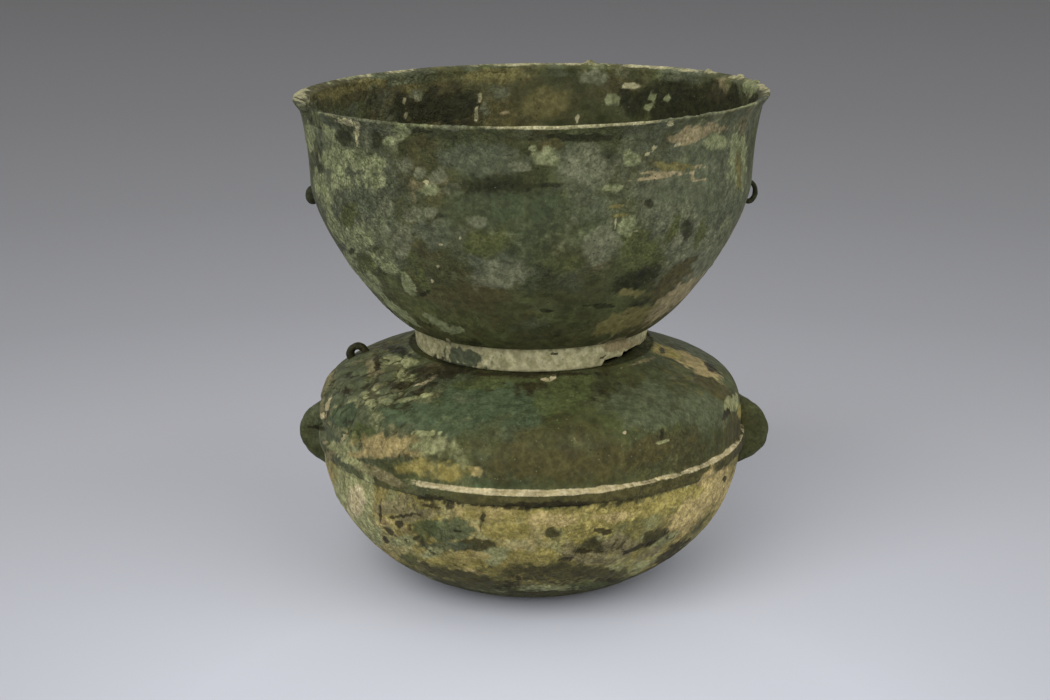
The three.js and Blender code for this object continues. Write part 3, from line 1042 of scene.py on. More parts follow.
def make_bowl():
    mesh = Turned(bowl_sections())
    fit_slots(mesh)
    top, below = slot_cells(mesh, "floor"), slot_cells(mesh, "under")
    faces = mesh.faces(top | below) + slot_walls(mesh, top)
    skin = Skin(mesh, faces, {"loop": holder_loop(), "stub": holder_stub()})
    lean(skin)
    skin.look()
    p = skin.points.copy()
    x, y, z = p.T
    inner = skin.is_in("inside", "floor_edge", "floor", "floor_middle")
    hidden = skin.is_in("under", "under_middle", "foot_inside")
    foot = skin.is_in("foot")
    wall = skin.is_in("wall", "lip")
    low = step(FOOT_TOP_Z + 62, FOOT_TOP_Z + 22, z) * wall
    left, right = step(-45, -120, x), step(60, 120, x)
    rim = step(RIM_Z - 2.8, RIM_Z - 1.0, z - RIM_LEAN * x / RIM_R)
    skin.amounts = first_amounts(p, BOWL_PIGMENTS, {
        "inner": inner, "low": low, "low_right": low * right, "left": left, "right": right,
        "foot": foot, "rim": rim,
    }, WILD)
    lip_line = rim * step(20, -60, y) * step(LIP_LINE_PX[0], LIP_LINE_PX[0] + 90, skin.px)
    lip_line *= step(LIP_LINE_PX[1], LIP_LINE_PX[1] - 30, skin.px)
    skin.amounts["cream"] += lip_line * (0.42 + 0.2 * noise(p, 7, 47))
    skin.paint(BOWL_PATCHES)
    skin.amounts["dark"][skin.is_in("loop", "stub")] = 0.9
    for name in ("sage", "cream", "tan"):
        skin.amounts[name][skin.is_in("loop", "stub")] *= 0.4

    crust = np.clip(1.5 * np.maximum(skin.amounts["sage"], skin.amounts["grey"]) - 0.45, 0, 1)
    height, groove, tone = plates(p, 9.0, 81)
    lift = 0.35 * cloud(p, 70, 82, 2) + 0.22 * cloud(p, 13, 83, 3)
    lift += 0.75 * crust * height + 0.35 * skin.amounts["cream"] * foot * noise(p, 6, 84)
    pits = step(0.45, 0.75, noise(p, 5.0, 85)) * step(0.0, 0.5, cloud(p, 30, 86))
    lift -= 0.55 * pits * wall
    lift += inner * (0.25 * cloud(p, 16, 87, 3) + 0.5 * step(0.2, 0.6, noise(p, 12, 88)))
    add_lumps(skin, lift, BOWL_LUMPS)

    still = skin.is_in("under", "under_middle", "floor", "floor_middle", "foot_inside")
    calm = np.where(still, 0.0, 1.0) * step(FOOT_Z + 0.8, FOOT_Z + 5, z)
    calm = np.where(skin.is_in("loop", "stub"), 1.6, calm)
    skin.points = p + skin.directions * (lift * calm)[:, None]
    gone = break_lip(skin)
    broken = break_foot(skin)
    # Where the lip broke it is darker; the inside of the ring foot, seen through the foot's breaks, gets
    # painted shade
    skin.amounts["dark"] = np.maximum(skin.amounts["dark"], 0.55 * gone + 0.9 * (broken > 0.4) * hidden)
    skin.amounts["cream"] = np.where(gone, 0.2, skin.amounts["cream"])
    # Crevices and pits, where the shader lays dark patina and painted shade
    skin.amounts["groove"] = np.clip(0.6 * crust * groove * wall + 0.5 * pits * wall, 0, 1)
    # The tone: patina, painted shade on the bowl's underside, and darker inside the bowl
    skin.amounts["tone"] = toned(skin, BOWL_SHADES, tone, 0.16) * (0.96 - 0.17 * inner)
    lumpy = 0.4 + 0.5 * cloud(p, 34, 89, 2) + 0.5 * step(-20, -90, x)
    lumpy -= 0.7 * low + 0.1 * inner + 0.4 * foot
    skin.amounts["lumpy"] = np.clip(lumpy, 0, 1)
    return skin


# Pot

POT_PIGMENTS = {
    # On the flange's face under its ridge (the band), brown and dark are partly painted shade
    "brown": (0.32, 32, 131, {"inner": 0.1, "shaded_band": 0.45, "bottom": 0.25}),
    "yellow": (0.14, 34, 113, {"side": 0.50}),
    "teal": (0.28, 30, 121, {"belly": -0.18}),
    "green": (0.28, 26, 123, {"side": -0.08}),
    "slate": (0.24, 24, 125, {"side": -0.04, "rocky": 0.4}),
    "grey": (0.12, 20, 143, {"side": 0.12, "rocky_light": 0.5}),
    "sage": (0.20, 22, 111, {"side": 0.16, "inner": -0.1, "rocky_dull": 0.3}),
    "tan": (0.10, 30, 141, {"side": 0.24, "flange": 0.1}),
    "cream": (0.02, 14, 145, {"ridge": 0.30, "ridge_line": 0.48}),
    "dark": (0.15, 15, 151, {"belly": 0.04, "shaded_band_off_left": 0.2}),
}

POT_PATCHES = {
    # Painted shadow under the bowl's foot
    "shadow_under_foot": ("dark", (525, 392), (80, 11), 0, 0.3),
    "teal_wide": ("teal", (450, 412), (80, 26), 0, 0.6),
    "olive_wide": ("brown", (590, 452), (110, 26), 0, 0.35),
    "left_wide": ("slate", (350, 420), (34, 50), 0, 0.6),
    "rock_pale": ("sage", (397, 362), (17, 5), 0, 1.0),
    "rock_right": ("grey", (430, 369), (13, 5), -15, 1.0),
    "rock_middle": ("sage", (406, 378), (14, 6), 0, 0.9),
    "rock_left": ("grey", (374, 368), (9, 9), 0, 0.9),
    "rock_edge": ("slate", (352, 378), (15, 12), 0, 0.9),
    "rock_low": ("slate", (340, 398), (12, 10), 0, 0.8),
    "rock_sage": ("sage", (372, 398), (11, 8), 0, 0.8),
    "crevice_one": ("dark", (378, 363), (3, 10), 0, 1.0),
    "crevice_two": ("dark", (424, 389), (17, 3), -25, 1.0),
    "crevice_three": ("dark", (402, 387), (12, 2.4), -20, 1.0),
    "crevice_four": ("dark", (418, 371), (10, 2), -20, 0.8),
    "crevice_five": ("dark", (392, 349), (16, 4), 15, 0.6),
    "rock_line": ("cream", (428, 381), (13, 1.6), -25, 0.9),
    "rock_line_low": ("sage", (420, 398), (15, 2.6), -12, 1.0),
    "crack_one": ("dark", (344, 406), (4, 1.2), 0, 1.0),
    "crack_two": ("dark", (359, 408), (4.5, 1.2), 0, 1.0),
    "crack_three": ("dark", (346, 392), (4, 2.4), 40, 1.0),
    "crack_four": ("dark", (375, 424), (3, 2), 0, 0.8),
    "shade_under_foot": ("dark", (440, 372), (34, 9), -8, 0.6),
    "teal_left": ("teal", (344, 416), (17, 12), 0, 0.9),
    "teal_left_middle": ("teal", (405, 414), (34, 13), 0, 0.9),
    "teal_band": ("teal", (485, 402), (60, 17), 0, 1.0),
    "teal_pale": ("slate", (462, 398), (13, 6), 0, 0.8),
    "green_left": ("green", (365, 433), (15, 10), 0, 1.0),
    "green_foot": ("green", (472, 386), (30, 5), 0, 0.9),
    "green_middle": ("green", (560, 396), (28, 18), 0, 0.9),
    "green_spot": ("green", (586, 378), (11, 6), 0, 1.0),
    "slate_right": ("slate", (645, 405), (44, 24), 0, 0.8),
    "slate_far": ("slate", (705, 412), (24, 18), 0, 0.9),
    "pale_left": ("sage", (346, 448), (18, 6), 12, 1.0),
    "pale_left_spot": ("cream", (343, 437), (2, 3.4), 20, 0.9),
    "tan_left": ("tan", (388, 444), (28, 9), 4, 0.5),
    "tan_left_low": ("tan", (372, 453), (22, 5), -4, 0.6),
    "tan_middle": ("tan", (410, 447), (14, 9), 0, 0.5),
    "olive_left": ("sage", (432, 446), (18, 9), 0, 0.5),
    "olive_line": ("sage", (428, 434), (14, 2.4), 0, 1.0),
    "ochre_left": ("yellow", (418, 468), (22, 8), 0, 0.6),
    "ochre": ("yellow", (452, 473), (26, 8), 0, 0.6),
    "ochre_end": ("tan", (476, 473), (6, 5), 0, 0.5),
    "brown_middle": ("brown", (545, 466), (76, 16), 0, 0.6),
    "brown_right": ("brown", (650, 450), (50, 16), -14, 0.6),
    "tan_right": ("tan", (689, 360), (20, 7), 24, 1.0),
    "tan_right_low": ("tan", (706, 373), (19, 7), 32, 1.0),
    "tan_right_start": ("yellow", (668, 352), (18, 5), 20, 0.8),
    "pit_right": ("dark", (709, 366), (8, 3.4), 40, 1.0),
    "edge_right_dark": ("dark", (712, 386), (20, 3), 30, 0.9),
    "edge_right_brown": ("brown", (716, 388), (26, 8), 30, 1.0),
    "grey_top_right": ("slate", (692, 347), (34, 6), 30, 0.9),
    "end_tan": ("sage", (733, 404), (7, 9), 20, 1.0),
    "end_brown": ("brown", (733, 428), (9, 18), 20, 1.0),
    "end_yellow": ("yellow", (742, 410), (3, 8), 10, 1.0),
    "end_dark": ("dark", (727, 414), (2.6, 7), 30, 0.8),
    "scratch_dark": ("dark", (661, 433), (1.4, 8), 0, 0.9),
    "scratch": ("sage", (662, 442), (7, 1.0), -12, 0.7),
    "dot": ("cream", (626, 433), (2.2, 2), 0, 0.9),
    "arc_white": ("cream", (545, 379), (5, 2), 12, 0.9),
    "arc_white_right": ("cream", (553, 378), (4, 2.2), -30, 0.9),
    "arc_green": ("green", (500, 381), (34, 1.6), 0, 1.0),
    "arc_line": ("grey", (640, 361), (19, 1.4), -17, 0.9),
    "arc_notch": ("dark", (661, 351), (3, 3), 0, 1.0),
    "shadow_ring": ("dark", (530, 374), (70, 2), 0, 0.6),
    "flange_grey": ("grey", (378, 474), (36, 5), 24, 1.0),
    "flange_sage": ("sage", (352, 462), (14, 4), 24, 0.9),
    # The next five: painted shadow under the flange's edge
    "flange_shadow_one": ("dark", (430, 497), (12, 2.8), 8, 1.0),
    "flange_shadow_two": ("dark", (431, 507), (11, 2.4), 8, 1.0),
    "flange_shadow_three": ("dark", (449, 503), (6, 5), 0, 1.0),
    "flange_shadow_four": ("dark", (523, 508), (20, 2.4), 0, 0.9),
    "flange_shadow_five": ("dark", (566, 503), (13, 2.2), 0, 0.9),
    "flange_green": ("green", (548, 507), (36, 4), 0, 0.9),
    # The next three lie under the flange's edge: brown patina with painted shade, and a painted shadow line
    "flange_brown_and_shade": ("brown", (660, 488), (70, 6), -18, 1.0),
    "flange_band_brown_and_shade": ("brown", (540, 503), (90, 4), 0, 1.0),
    "flange_band_shadow": ("dark", (545, 505), (60, 3), -2, 0.7),
    "pale_field": ("sage", (358, 502), (17, 28), 0, 1.0),
    "pale_field_light": ("cream", (356, 500), (9, 16), 0, 0.55),
    "pale_field_low": ("sage", (373, 532), (10, 16), -30, 1.0),
    "left_edge": ("sage", (334, 500), (7, 26), 0, 0.8),
    "plate_one": ("grey", (395, 505), (19, 9), -15, 1.0),
    "plate_two": ("tan", (385, 521), (9, 5), 0, 0.9),
    "plate_three": ("grey", (420, 515), (22, 6), -8, 0.9),
    "plate_outline": ("dark", (380, 512), (1.6, 12), 0, 1.0),
    "plate_outline_low": ("dark", (390, 532), (11, 1.6), 32, 1.0),
    "plate_outline_right": ("dark", (403, 516), (14, 1.4), -10, 1.0),
    "pit_one": ("dark", (399, 525), (4.6, 4), 0, 1.0),
    "pit_two": ("dark", (411, 528), (3.4, 3.4), 0, 0.9),
    "pit_three": ("dark", (386, 540), (4, 2), 50, 0.9),
    "sage_low_left": ("sage", (405, 541), (14, 6), 0, 1.0),
    "green_low_left": ("green", (424, 537), (9, 5), 0, 0.9),
    "teal_flake": ("teal", (450, 530), (30, 11), 0, 1.0),
    "green_flake": ("green", (424, 528), (16, 8), 0, 0.9),
    "brown_flake": ("brown", (470, 545), (18, 6), 0, 0.9),
    "teal_flake_line": ("dark", (458, 530), (8, 1.4), 0, 1.0),
    "slate_flake": ("slate", (450, 546), (28, 4), 0, 0.9),
    "brown_arc": ("dark", (482, 524), (3, 9), 0, 0.9),
    "brown_arc_low": ("brown", (488, 546), (10, 6), 0, 1.0),
    "yellow_middle": ("yellow", (508, 530), (26, 10), 0, 1.0),
    "yellow_pale": ("sage", (505, 556), (20, 9), 0, 0.8),
    "yellow_low": ("yellow", (535, 562), (26, 16), 0, 1.0),
    "yellow_low_left": ("yellow", (446, 566), (30, 9), 12, 1.0),
    "tan_low_left": ("tan", (470, 572), (12, 3), 10, 1.0),
    "sage_low": ("sage", (432, 553), (10, 5), 0, 0.8),
    "dark_low_left": ("dark", (425, 566), (7, 3.4), 35, 1.0),
    "dark_low_green": ("dark", (503, 586), (18, 4), 0, 0.9),
    "dark_low_middle": ("dark", (530, 577), (20, 2.6), 0, 0.9),
    "green_edge_left": ("green", (412, 559), (11, 6), 35, 0.9),
    "tan_middle_low": ("tan", (552, 521), (26, 7), 0, 0.9),
    "flake_ochre": ("brown", (552, 532), (7, 6), 0, 0.8),
    "lump": ("grey", (569, 550), (10, 8), 0, 1.0),
    "lump_shade": ("dark", (566, 559), (9, 3), -10, 0.8),
    "flake_brown": ("brown", (594, 546), (17, 8), -6, 1.0),
    # Painted shadow under the flake
    "flake_shadow": ("dark", (592, 553), (16, 3), 8, 1.0),
    "pink_field": ("grey", (620, 545), (15, 14), 0, 1.0),
    "grey_field": ("grey", (596, 561), (20, 7), 0, 1.0),
    "yellow_right": ("yellow", (640, 511), (56, 9), -12, 1.0),
    "yellow_right_tan": ("tan", (610, 519), (30, 5), -8, 0.9),
    "yellow_right_low": ("yellow", (592, 526), (18, 6), 0, 1.0),
    "chip_one": ("brown", (653, 535), (15, 8), -14, 1.0),
    "chip_one_edge": ("dark", (652, 543), (16, 2.6), -14, 1.0),
    "chip_two": ("dark", (672, 530), (9, 3.4), -20, 0.9),
    # Painted shadow line under a chip
    "chip_three_shadow": ("dark", (634, 549), (12, 3), -16, 1.0),
    "chip_four": ("dark", (603, 531), (10, 3), 12, 1.0),
    "chip_five": ("dark", (689, 520), (7, 6), 0, 0.6),
    "drip_one": ("cream", (677, 528), (1.2, 7), 0, 1.0),
    "drip_two": ("cream", (683, 526), (1.2, 6), 0, 1.0),
    "right_tan": ("tan", (712, 490), (30, 18), -40, 1.0),
    "right_tan_low": ("tan", (690, 512), (26, 10), -40, 1.0),
    "right_bright": ("yellow", (676, 497), (26, 8), -16, 1.0),
    "right_spot": ("dark", (724, 478), (2, 3), 0, 0.8),
    "low_right_dark": ("dark", (670, 553), (24, 5), -38, 1.0),
    "low_right_sage": ("sage", (662, 543), (22, 4), -34, 0.9),
    "low_right_grey": ("grey", (650, 553), (18, 4), -28, 0.8),
    "bottom_dark": ("dark", (592, 577), (36, 8), -8, 1.0),
    "bottom_brown": ("brown", (560, 572), (70, 8), 0, 0.7),
    "bottom_left_brown": ("brown", (460, 576), (44, 7), 14, 0.8),
    "bottom_green": ("green", (588, 586), (22, 4), 0, 0.8),
    "bottom_sage": ("sage", (545, 588), (30, 3), 0, 0.7),
    "lug_left_streak": ("cream", (328, 405), (1.8, 9), 20, 1.0),
    "lug_left_streak_end": ("cream", (322, 417), (5, 1.8), 20, 1.0),
    # Painted shadow of a crease in the lug
    "lug_left_crease_shadow": ("dark", (318, 428), (14, 1.8), 6, 1.0),
    "lug_left_low": ("grey", (325, 457), (8, 5), -20, 0.8),
}

# Where the belly's crust is broken into plates: pixel, half width and half height in pixels
CRACKED = {
    "left": ((404, 516), (40, 26)),
    "left_low": ((430, 545), (44, 20)),
    "low": ((480, 566), (50, 14)),
    "middle": ((606, 548), (56, 18)),
    "right": ((664, 532), (34, 14)),
}

POT_SHADES = {
    "rocks": ((370, 385), (30, 26), -0.05),
    "belly_right": ((690, 495), (46, 24), 0.26),
    "belly_middle": ((640, 512), (44, 14), 0.16),
    "shoulder_left": ((395, 450), (50, 20), -0.18),
    "shoulder_top": ((570, 388), (80, 12), -0.14),
    "shoulder_tan": ((697, 366), (26, 12), -0.14),
    "belly_pale": ((358, 508), (18, 34), 0.2),
    "belly_flakes": ((425, 528), (36, 20), -0.16),
    "belly_chips": ((655, 540), (32, 9), -0.18),
    # Darker towards the bottom of the belly
    "belly_low": ((520, 552), (64, 24), -0.2),
    "shoulder_middle": ((560, 430), (70, 20), -0.1),
    # Darker towards the bottom of the belly
    "belly_bottom": ((560, 590), (70, 9), -0.1),
}

POT_LUMPS = {
    "belly": ((570, 551), 6.0, 3.4),
    "rock_one": ((380, 362), 8.0, 2.0),
    "rock_two": ((352, 385), 7.0, 1.6),
    "rock_three": ((398, 385), 7.0, 1.5),
    "rock_four": ((375, 402), 8.0, 1.2),
    "rock_five": ((415, 360), 6.0, 1.4),
    "belly_plate": ((404, 553), 10.0, 1.2),
    "belly_plate_right": ((632, 545), 10.0, 1.2),
}


def make_pot():
    mesh = Turned(pot_sections())
    added = {"lug_left": lug(LUG_LEFT, -1), "lug_right": lug(LUG_RIGHT, 1), "knob": knob()}
    skin = Skin(mesh, mesh.faces(), added)
    skin.look()
    p = skin.points.copy()
    x, y, z = p.T
    r = np.hypot(x, y)
    belly = skin.is_in("belly", "base", "base_middle")
    flange = skin.is_in("flange")
    shoulder = skin.is_in("shoulder")
    inner = skin.is_in("inside", "inside_base", "mouth")
    ears = skin.is_in("lug_left", "lug_right", "knob")
    left = step(-20, -90, x) * step(0.0, 0.4, -y / np.maximum(r, 1) + 0.35)
    ridge = flange * step(-2.2, -1.2, z - FLANGE_TOP - 0.4 * step(20, 90, x))
    # The flange's face under its ridge, where shade is painted
    shaded_band = flange - ridge
    front = step(20, -60, y)
    off_left = step(-60, -30, x)

    rocky = np.clip(left * step(100, 110, z) * (0.8 + 0.6 * cloud(p, 30, 160, 2)), 0, 1) * shoulder
    rock, rock_groove, rock_tone = plates(p, 14.0, 181)
    side = belly * step(14, 30, z)
    line = step(-74, -58, x) * (1 - 0.25 * step(40, 90, x))
    skin.amounts = first_amounts(p, POT_PIGMENTS, {
        "inner": inner, "belly": belly, "side": side, "bottom": belly * (1 - side),
        "flange": flange, "shaded_band": shaded_band, "shaded_band_off_left": shaded_band * off_left,
        "ridge": ridge, "ridge_line": ridge * front * line,
        "rocky": rocky, "rocky_light": rocky * rock_tone, "rocky_dull": rocky * (1 - rock_tone),
    }, WILD - 0.14 * step(-0.1, 0.2, skin.facing))
    # Painted shade on the flange's face: the lighter pigments are cleared from it
    for name in skin.amounts:
        if name not in ("brown", "dark", "cream"):
            skin.amounts[name] *= 1 - 0.6 * shaded_band * off_left * front
    skin.paint(POT_PATCHES)
    for name in ("sage", "yellow", "tan", "grey"):
        skin.amounts[name][ears] *= 0.45
    skin.amounts["dark"][ears] = np.maximum(skin.amounts["dark"][ears], 0.35)
    skin.amounts["dark"][skin.is_in("knob")] = 0.6

    pale = np.maximum.reduce([skin.amounts[name] for name in ("sage", "tan", "yellow", "grey")])
    crust = np.clip(1.6 * pale - 0.5, 0, 1) * np.where(belly, 1.0, 0.45)
    cracked = np.clip(0.3 + 1.2 * cloud(p, 34, 163, 2), 0, 1) * step(0.2, -0.2, skin.facing)
    for pixel, size in CRACKED.values():
        cracked = np.maximum(cracked, np.clip(2 * skin.near(pixel, size), 0, 1))
    height, groove, tone = plates(p, 10.0, 161)
    big, big_groove, _ = plates(p, 17.0, 171)
    lift = 0.4 * cloud(p, 70, 182, 2) + 0.22 * cloud(p, 11, 183, 3)
    lift += crust * (0.5 * height + 0.9 * big * (0.3 + 0.7 * cracked)) * np.where(belly, 1.0, 0.5)
    lift += rocky * (2.4 * rock - 0.5)
    lift += 0.5 * flange * cloud(p, 9, 184, 3)
    lift -= 0.5 * skin.amounts["dark"] * belly
    lift += ears * 0.8 * cloud(p, 9, 185, 3)
    add_lumps(skin, lift, POT_LUMPS)

    calm = np.where(inner, 0.0, 1.0) * step(0.6, 7, z) * step(MOUTH_RIM_R, MOUTH_RIM_R + 5, r)
    skin.points = p + skin.directions * (lift * calm)[:, None]
    # Crevices, where the shader lays dark patina and painted shade
    skin.amounts["groove"] = np.clip(
        crust * belly * cracked * np.maximum(0.7 * groove, big_groove) + rocky * rock_groove, 0, 1,
    )
    tone += 1.2 * rocky * (rock_tone - tone)
    skin.amounts["tone"] = toned(skin, POT_SHADES, tone, 0.2 + 0.12 * rocky)
    lumpy = 0.35 + 0.45 * cloud(p, 34, 189, 2) + 0.2 * belly + 0.1 * left - 0.15 * shoulder
    skin.amounts["lumpy"] = np.clip(lumpy, 0, 1)
    return skin


def make_object(name, skin, material):
    mesh = bpy.data.meshes.new(name)
    mesh.from_pydata((skin.points * MM).tolist(), [], skin.faces)
    for key, values in skin.amounts.items():
        data = mesh.attributes.new(key, "FLOAT", "POINT").data
        data.foreach_set("value", values.astype(np.float32))
    mesh.polygons.foreach_set("use_smooth", np.ones(len(mesh.polygons), bool))
    mesh.materials.append(material)
    mesh.update()
    obj = bpy.data.objects.new(name, mesh)
    bpy.context.scene.collection.objects.link(obj)
    return obj


# Materials


def linear(colour, gain=1.0):
    """A colour given as 0 to 255, for a shader."""
    return (*[min(gain * (c / 255) ** 2.2, 0.95) for c in colour], 1.0)


class Shader:
    """A material made node by node, with sizes in millimetres."""

    def __init__(self, name):
        self.material = bpy.data.materials.new(name)
        self.material.use_nodes = True
        self.tree = self.material.node_tree
        self.tree.nodes.clear()
        self.place = self.node("ShaderNodeTexCoord").outputs["Object"]

    def node(self, kind, inputs=None, **settings):
        made = self.tree.nodes.new(kind)
        for key, value in settings.items():
            setattr(made, key, value)
        for key, value in (inputs or {}).items():
            if isinstance(value, bpy.types.NodeSocket):
                self.tree.links.new(value, made.inputs[key])
            else:
                made.inputs[key].default_value = value
        return made

    def shifted(self, seed):
        """The place, moved to another part of a noise."""
        step_aside = (0.37 * seed, 0.71 * seed, 0.13 * seed)
        return self.node("ShaderNodeVectorMath", {0: self.place, 1: step_aside}).outputs[0]

    def texture(self, kind, size, seed, more=None, **settings):
        """A noise with lumps about size millimetres wide."""
        inputs = {"Vector": self.shifted(seed), "Scale": 1 / (size * MM), **(more or {})}
        return self.node(kind, inputs, **settings).outputs

    def noise(self, size, seed, detail=3.0, rough=0.55):
        return self.texture("ShaderNodeTexNoise", size, seed, {"Detail": detail, "Roughness": rough})[0]

    def three(self, size, seed):
        """Three noises from one texture."""
        made = self.texture("ShaderNodeTexNoise", size, seed, {"Detail": 4.0, "Roughness": 0.6})
        return self.node("ShaderNodeSeparateColor", {0: made["Color"]}).outputs

    def spots(self, size, seed):
        """How far each place is from the nearest of scattered points."""
        return self.texture("ShaderNodeTexVoronoi", size, seed)["Distance"]

    def bent(self, seed, size, reach):
        """The place moved about by noise, so that what is laid on it loses its straight edges."""
        wander = self.texture("ShaderNodeTexNoise", size, seed, {"Detail": 2.0})["Color"]
        wander = self.vector("SUBTRACT", {0: wander, 1: (0.5, 0.5, 0.5)})
        wander = self.vector("SCALE", {0: wander, "Scale": reach * MM})
        return self.vector("ADD", {0: self.shifted(seed), 1: wander})

    def nodules(self, size, seed):
        """Rounded lumps of crust: how high, how near the joint between two, and a tone for each."""
        inputs = {"Vector": self.bent(seed, 1.1 * size, 1.3 * size), "Scale": 1 / (size * MM)}
        lumps = self.node("ShaderNodeTexVoronoi", inputs, feature="F1")
        joints = self.node("ShaderNodeTexVoronoi", inputs, feature="DISTANCE_TO_EDGE")
        high = self.smooth(lumps.outputs["Distance"], 0.75, 0.1)
        joint = self.smooth(joints.outputs["Distance"], 0.13, 0.01)
        tone = self.node("ShaderNodeSeparateColor", {0: lumps.outputs["Color"]}).outputs[0]
        return high, joint, tone

    def vector(self, kind, inputs):
        return self.node("ShaderNodeVectorMath", inputs, operation=kind).outputs[0]

    def amount(self, name):
        return self.node("ShaderNodeAttribute", attribute_name=name).outputs["Fac"]

    def math(self, kind, a, b=0.0):
        return self.node("ShaderNodeMath", {0: a, 1: b}, operation=kind).outputs[0]

    def times(self, a, b):
        return self.math("MULTIPLY", a, b)

    def plus(self, a, b):
        return self.math("ADD", a, b)

    def minus(self, a, b):
        return self.math("SUBTRACT", a, b)

    def smooth(self, value, low, high, start=0.0, end=1.0):
        inputs = {"Value": value, "From Min": low, "From Max": high, "To Min": start, "To Max": end}
        return self.node("ShaderNodeMapRange", inputs, interpolation_type="SMOOTHSTEP").outputs[0]

    def mix(self, factor, a, b, blend="MIX"):
        made = self.node("ShaderNodeMix", {0: factor, 6: a, 7: b}, data_type="RGBA", blend_type=blend)
        return made.outputs[2]


BOWL_COLOURS = {
    "base": ((74, 77, 49), (60, 63, 38)),
    "brown": ((84, 78, 49), (68, 63, 40)),
    "yellow": ((116, 111, 70), (98, 92, 56)),
    "teal": ((72, 80, 57), (58, 66, 46)),
    "green": ((92, 96, 58), (74, 79, 46)),
    "slate": ((94, 99, 78), (76, 81, 63)),
    "grey": ((118, 120, 94), (96, 98, 75)),
    "sage": ((138, 142, 104), (110, 116, 81)),
    "tan": ((156, 142, 108), (130, 120, 87)),
    "cream": ((182, 176, 138), (150, 146, 108)),
    # Dark patina, also the colour of painted shade and shadow
    "dark": ((46, 47, 27), (29, 30, 16)),
}
POT_COLOURS = {
    "base": ((70, 73, 44), (56, 58, 33)),
    "brown": ((76, 71, 41), (61, 57, 32)),
    "yellow": ((152, 140, 82), (126, 115, 62)),
    "teal": ((77, 90, 66), (61, 73, 52)),
    "green": ((80, 87, 52), (63, 70, 40)),
    "slate": ((86, 92, 68), (68, 74, 53)),
    "grey": ((124, 116, 84), (98, 91, 63)),
    "sage": ((150, 151, 108), (118, 120, 81)),
    "tan": ((174, 156, 106), (144, 129, 84)),
    "cream": ((186, 174, 138), (156, 144, 106)),
    # Dark patina, also the colour of painted shade and shadow
    "dark": ((42, 37, 18), (27, 24, 11)),
}
# Pigment: ragged edge (noise and channel), how ragged, how soft, and how much it covers
EDGES = {
    "brown": ("coarse", 0, 0.22, 0.26, 0.85),
    "yellow": ("middle", 2, 0.22, 0.22, 0.9),
    "teal": ("coarse", 1, 0.26, 0.24, 0.8),
    "green": ("coarse", 2, 0.24, 0.22, 0.8),
    "slate": ("middle", 0, 0.26, 0.22, 0.8),
    "grey": ("middle", 1, 0.24, 0.18, 0.85),
    "sage": ("middle", 2, -0.24, 0.18, 0.9),
    "tan": ("middle", 0, -0.24, 0.20, 0.9),
    "cream": ("fine", 2, 0.24, 0.14, 0.92),
    "dark": ("fine", 0, -0.26, 0.18, 0.85),
}
EDGE_NOISES = {"coarse": 9.0, "middle": 5.0, "fine": 3.0}
GAIN = 1.05


# Noises of the patina: size in mm, seed, and detail and roughness where they differ
NOISES = {
    "base": (12, 1),
    "shade": (4.0, 9),
    "fine": (1.6, 30, 4.0, 0.7),
    "crevices": (2.5, 31),
    "pale_areas": (22, 34),
    "hole_areas": (26, 36),
    "gloss": (5, 37),
    "grain": (2.2, 38, 5.0, 0.65),
    "swell": (7.0, 39),
    "blotches": (8.0, 45, 4.0, 0.65),
}
# Rounded lumps of crust, and small spots: size in mm and seed
NODULES = {"large": (6.0, 41), "small": (2.6, 44)}
SPOTS = {"pale": (3.6, 33), "holes": (4.6, 35)}
# How much the tone changes: by fine grain where it is lumpy and all over, between nodules, and by blotches
FINE_LUMPY, FINE_ALL = 0.33, 0.15
NODULE_TONES = 0.36
BLOTCHES = 0.16
# How dark the crevices (dark patina and painted shade), the joints between nodules and the holes are, and
# how pale the pale spots
CREVICES, JOINTS, HOLES, PALE = 0.8, 0.42, 0.6, 0.26
# Relief beside the large nodules: grain where it is lumpy and all over, small nodules, joints and holes
GRAIN_LUMPY, GRAIN_ALL = 0.6, 0.25
SMALL_DOMES, JOINT_DEPTH, HOLE_DEPTH = 0.35, 0.4, 0.6
BUMP_STRENGTH, BUMP_MM = 0.8, 0.8
GLOSS_SPREAD = 0.25
SPECULAR = 0.2


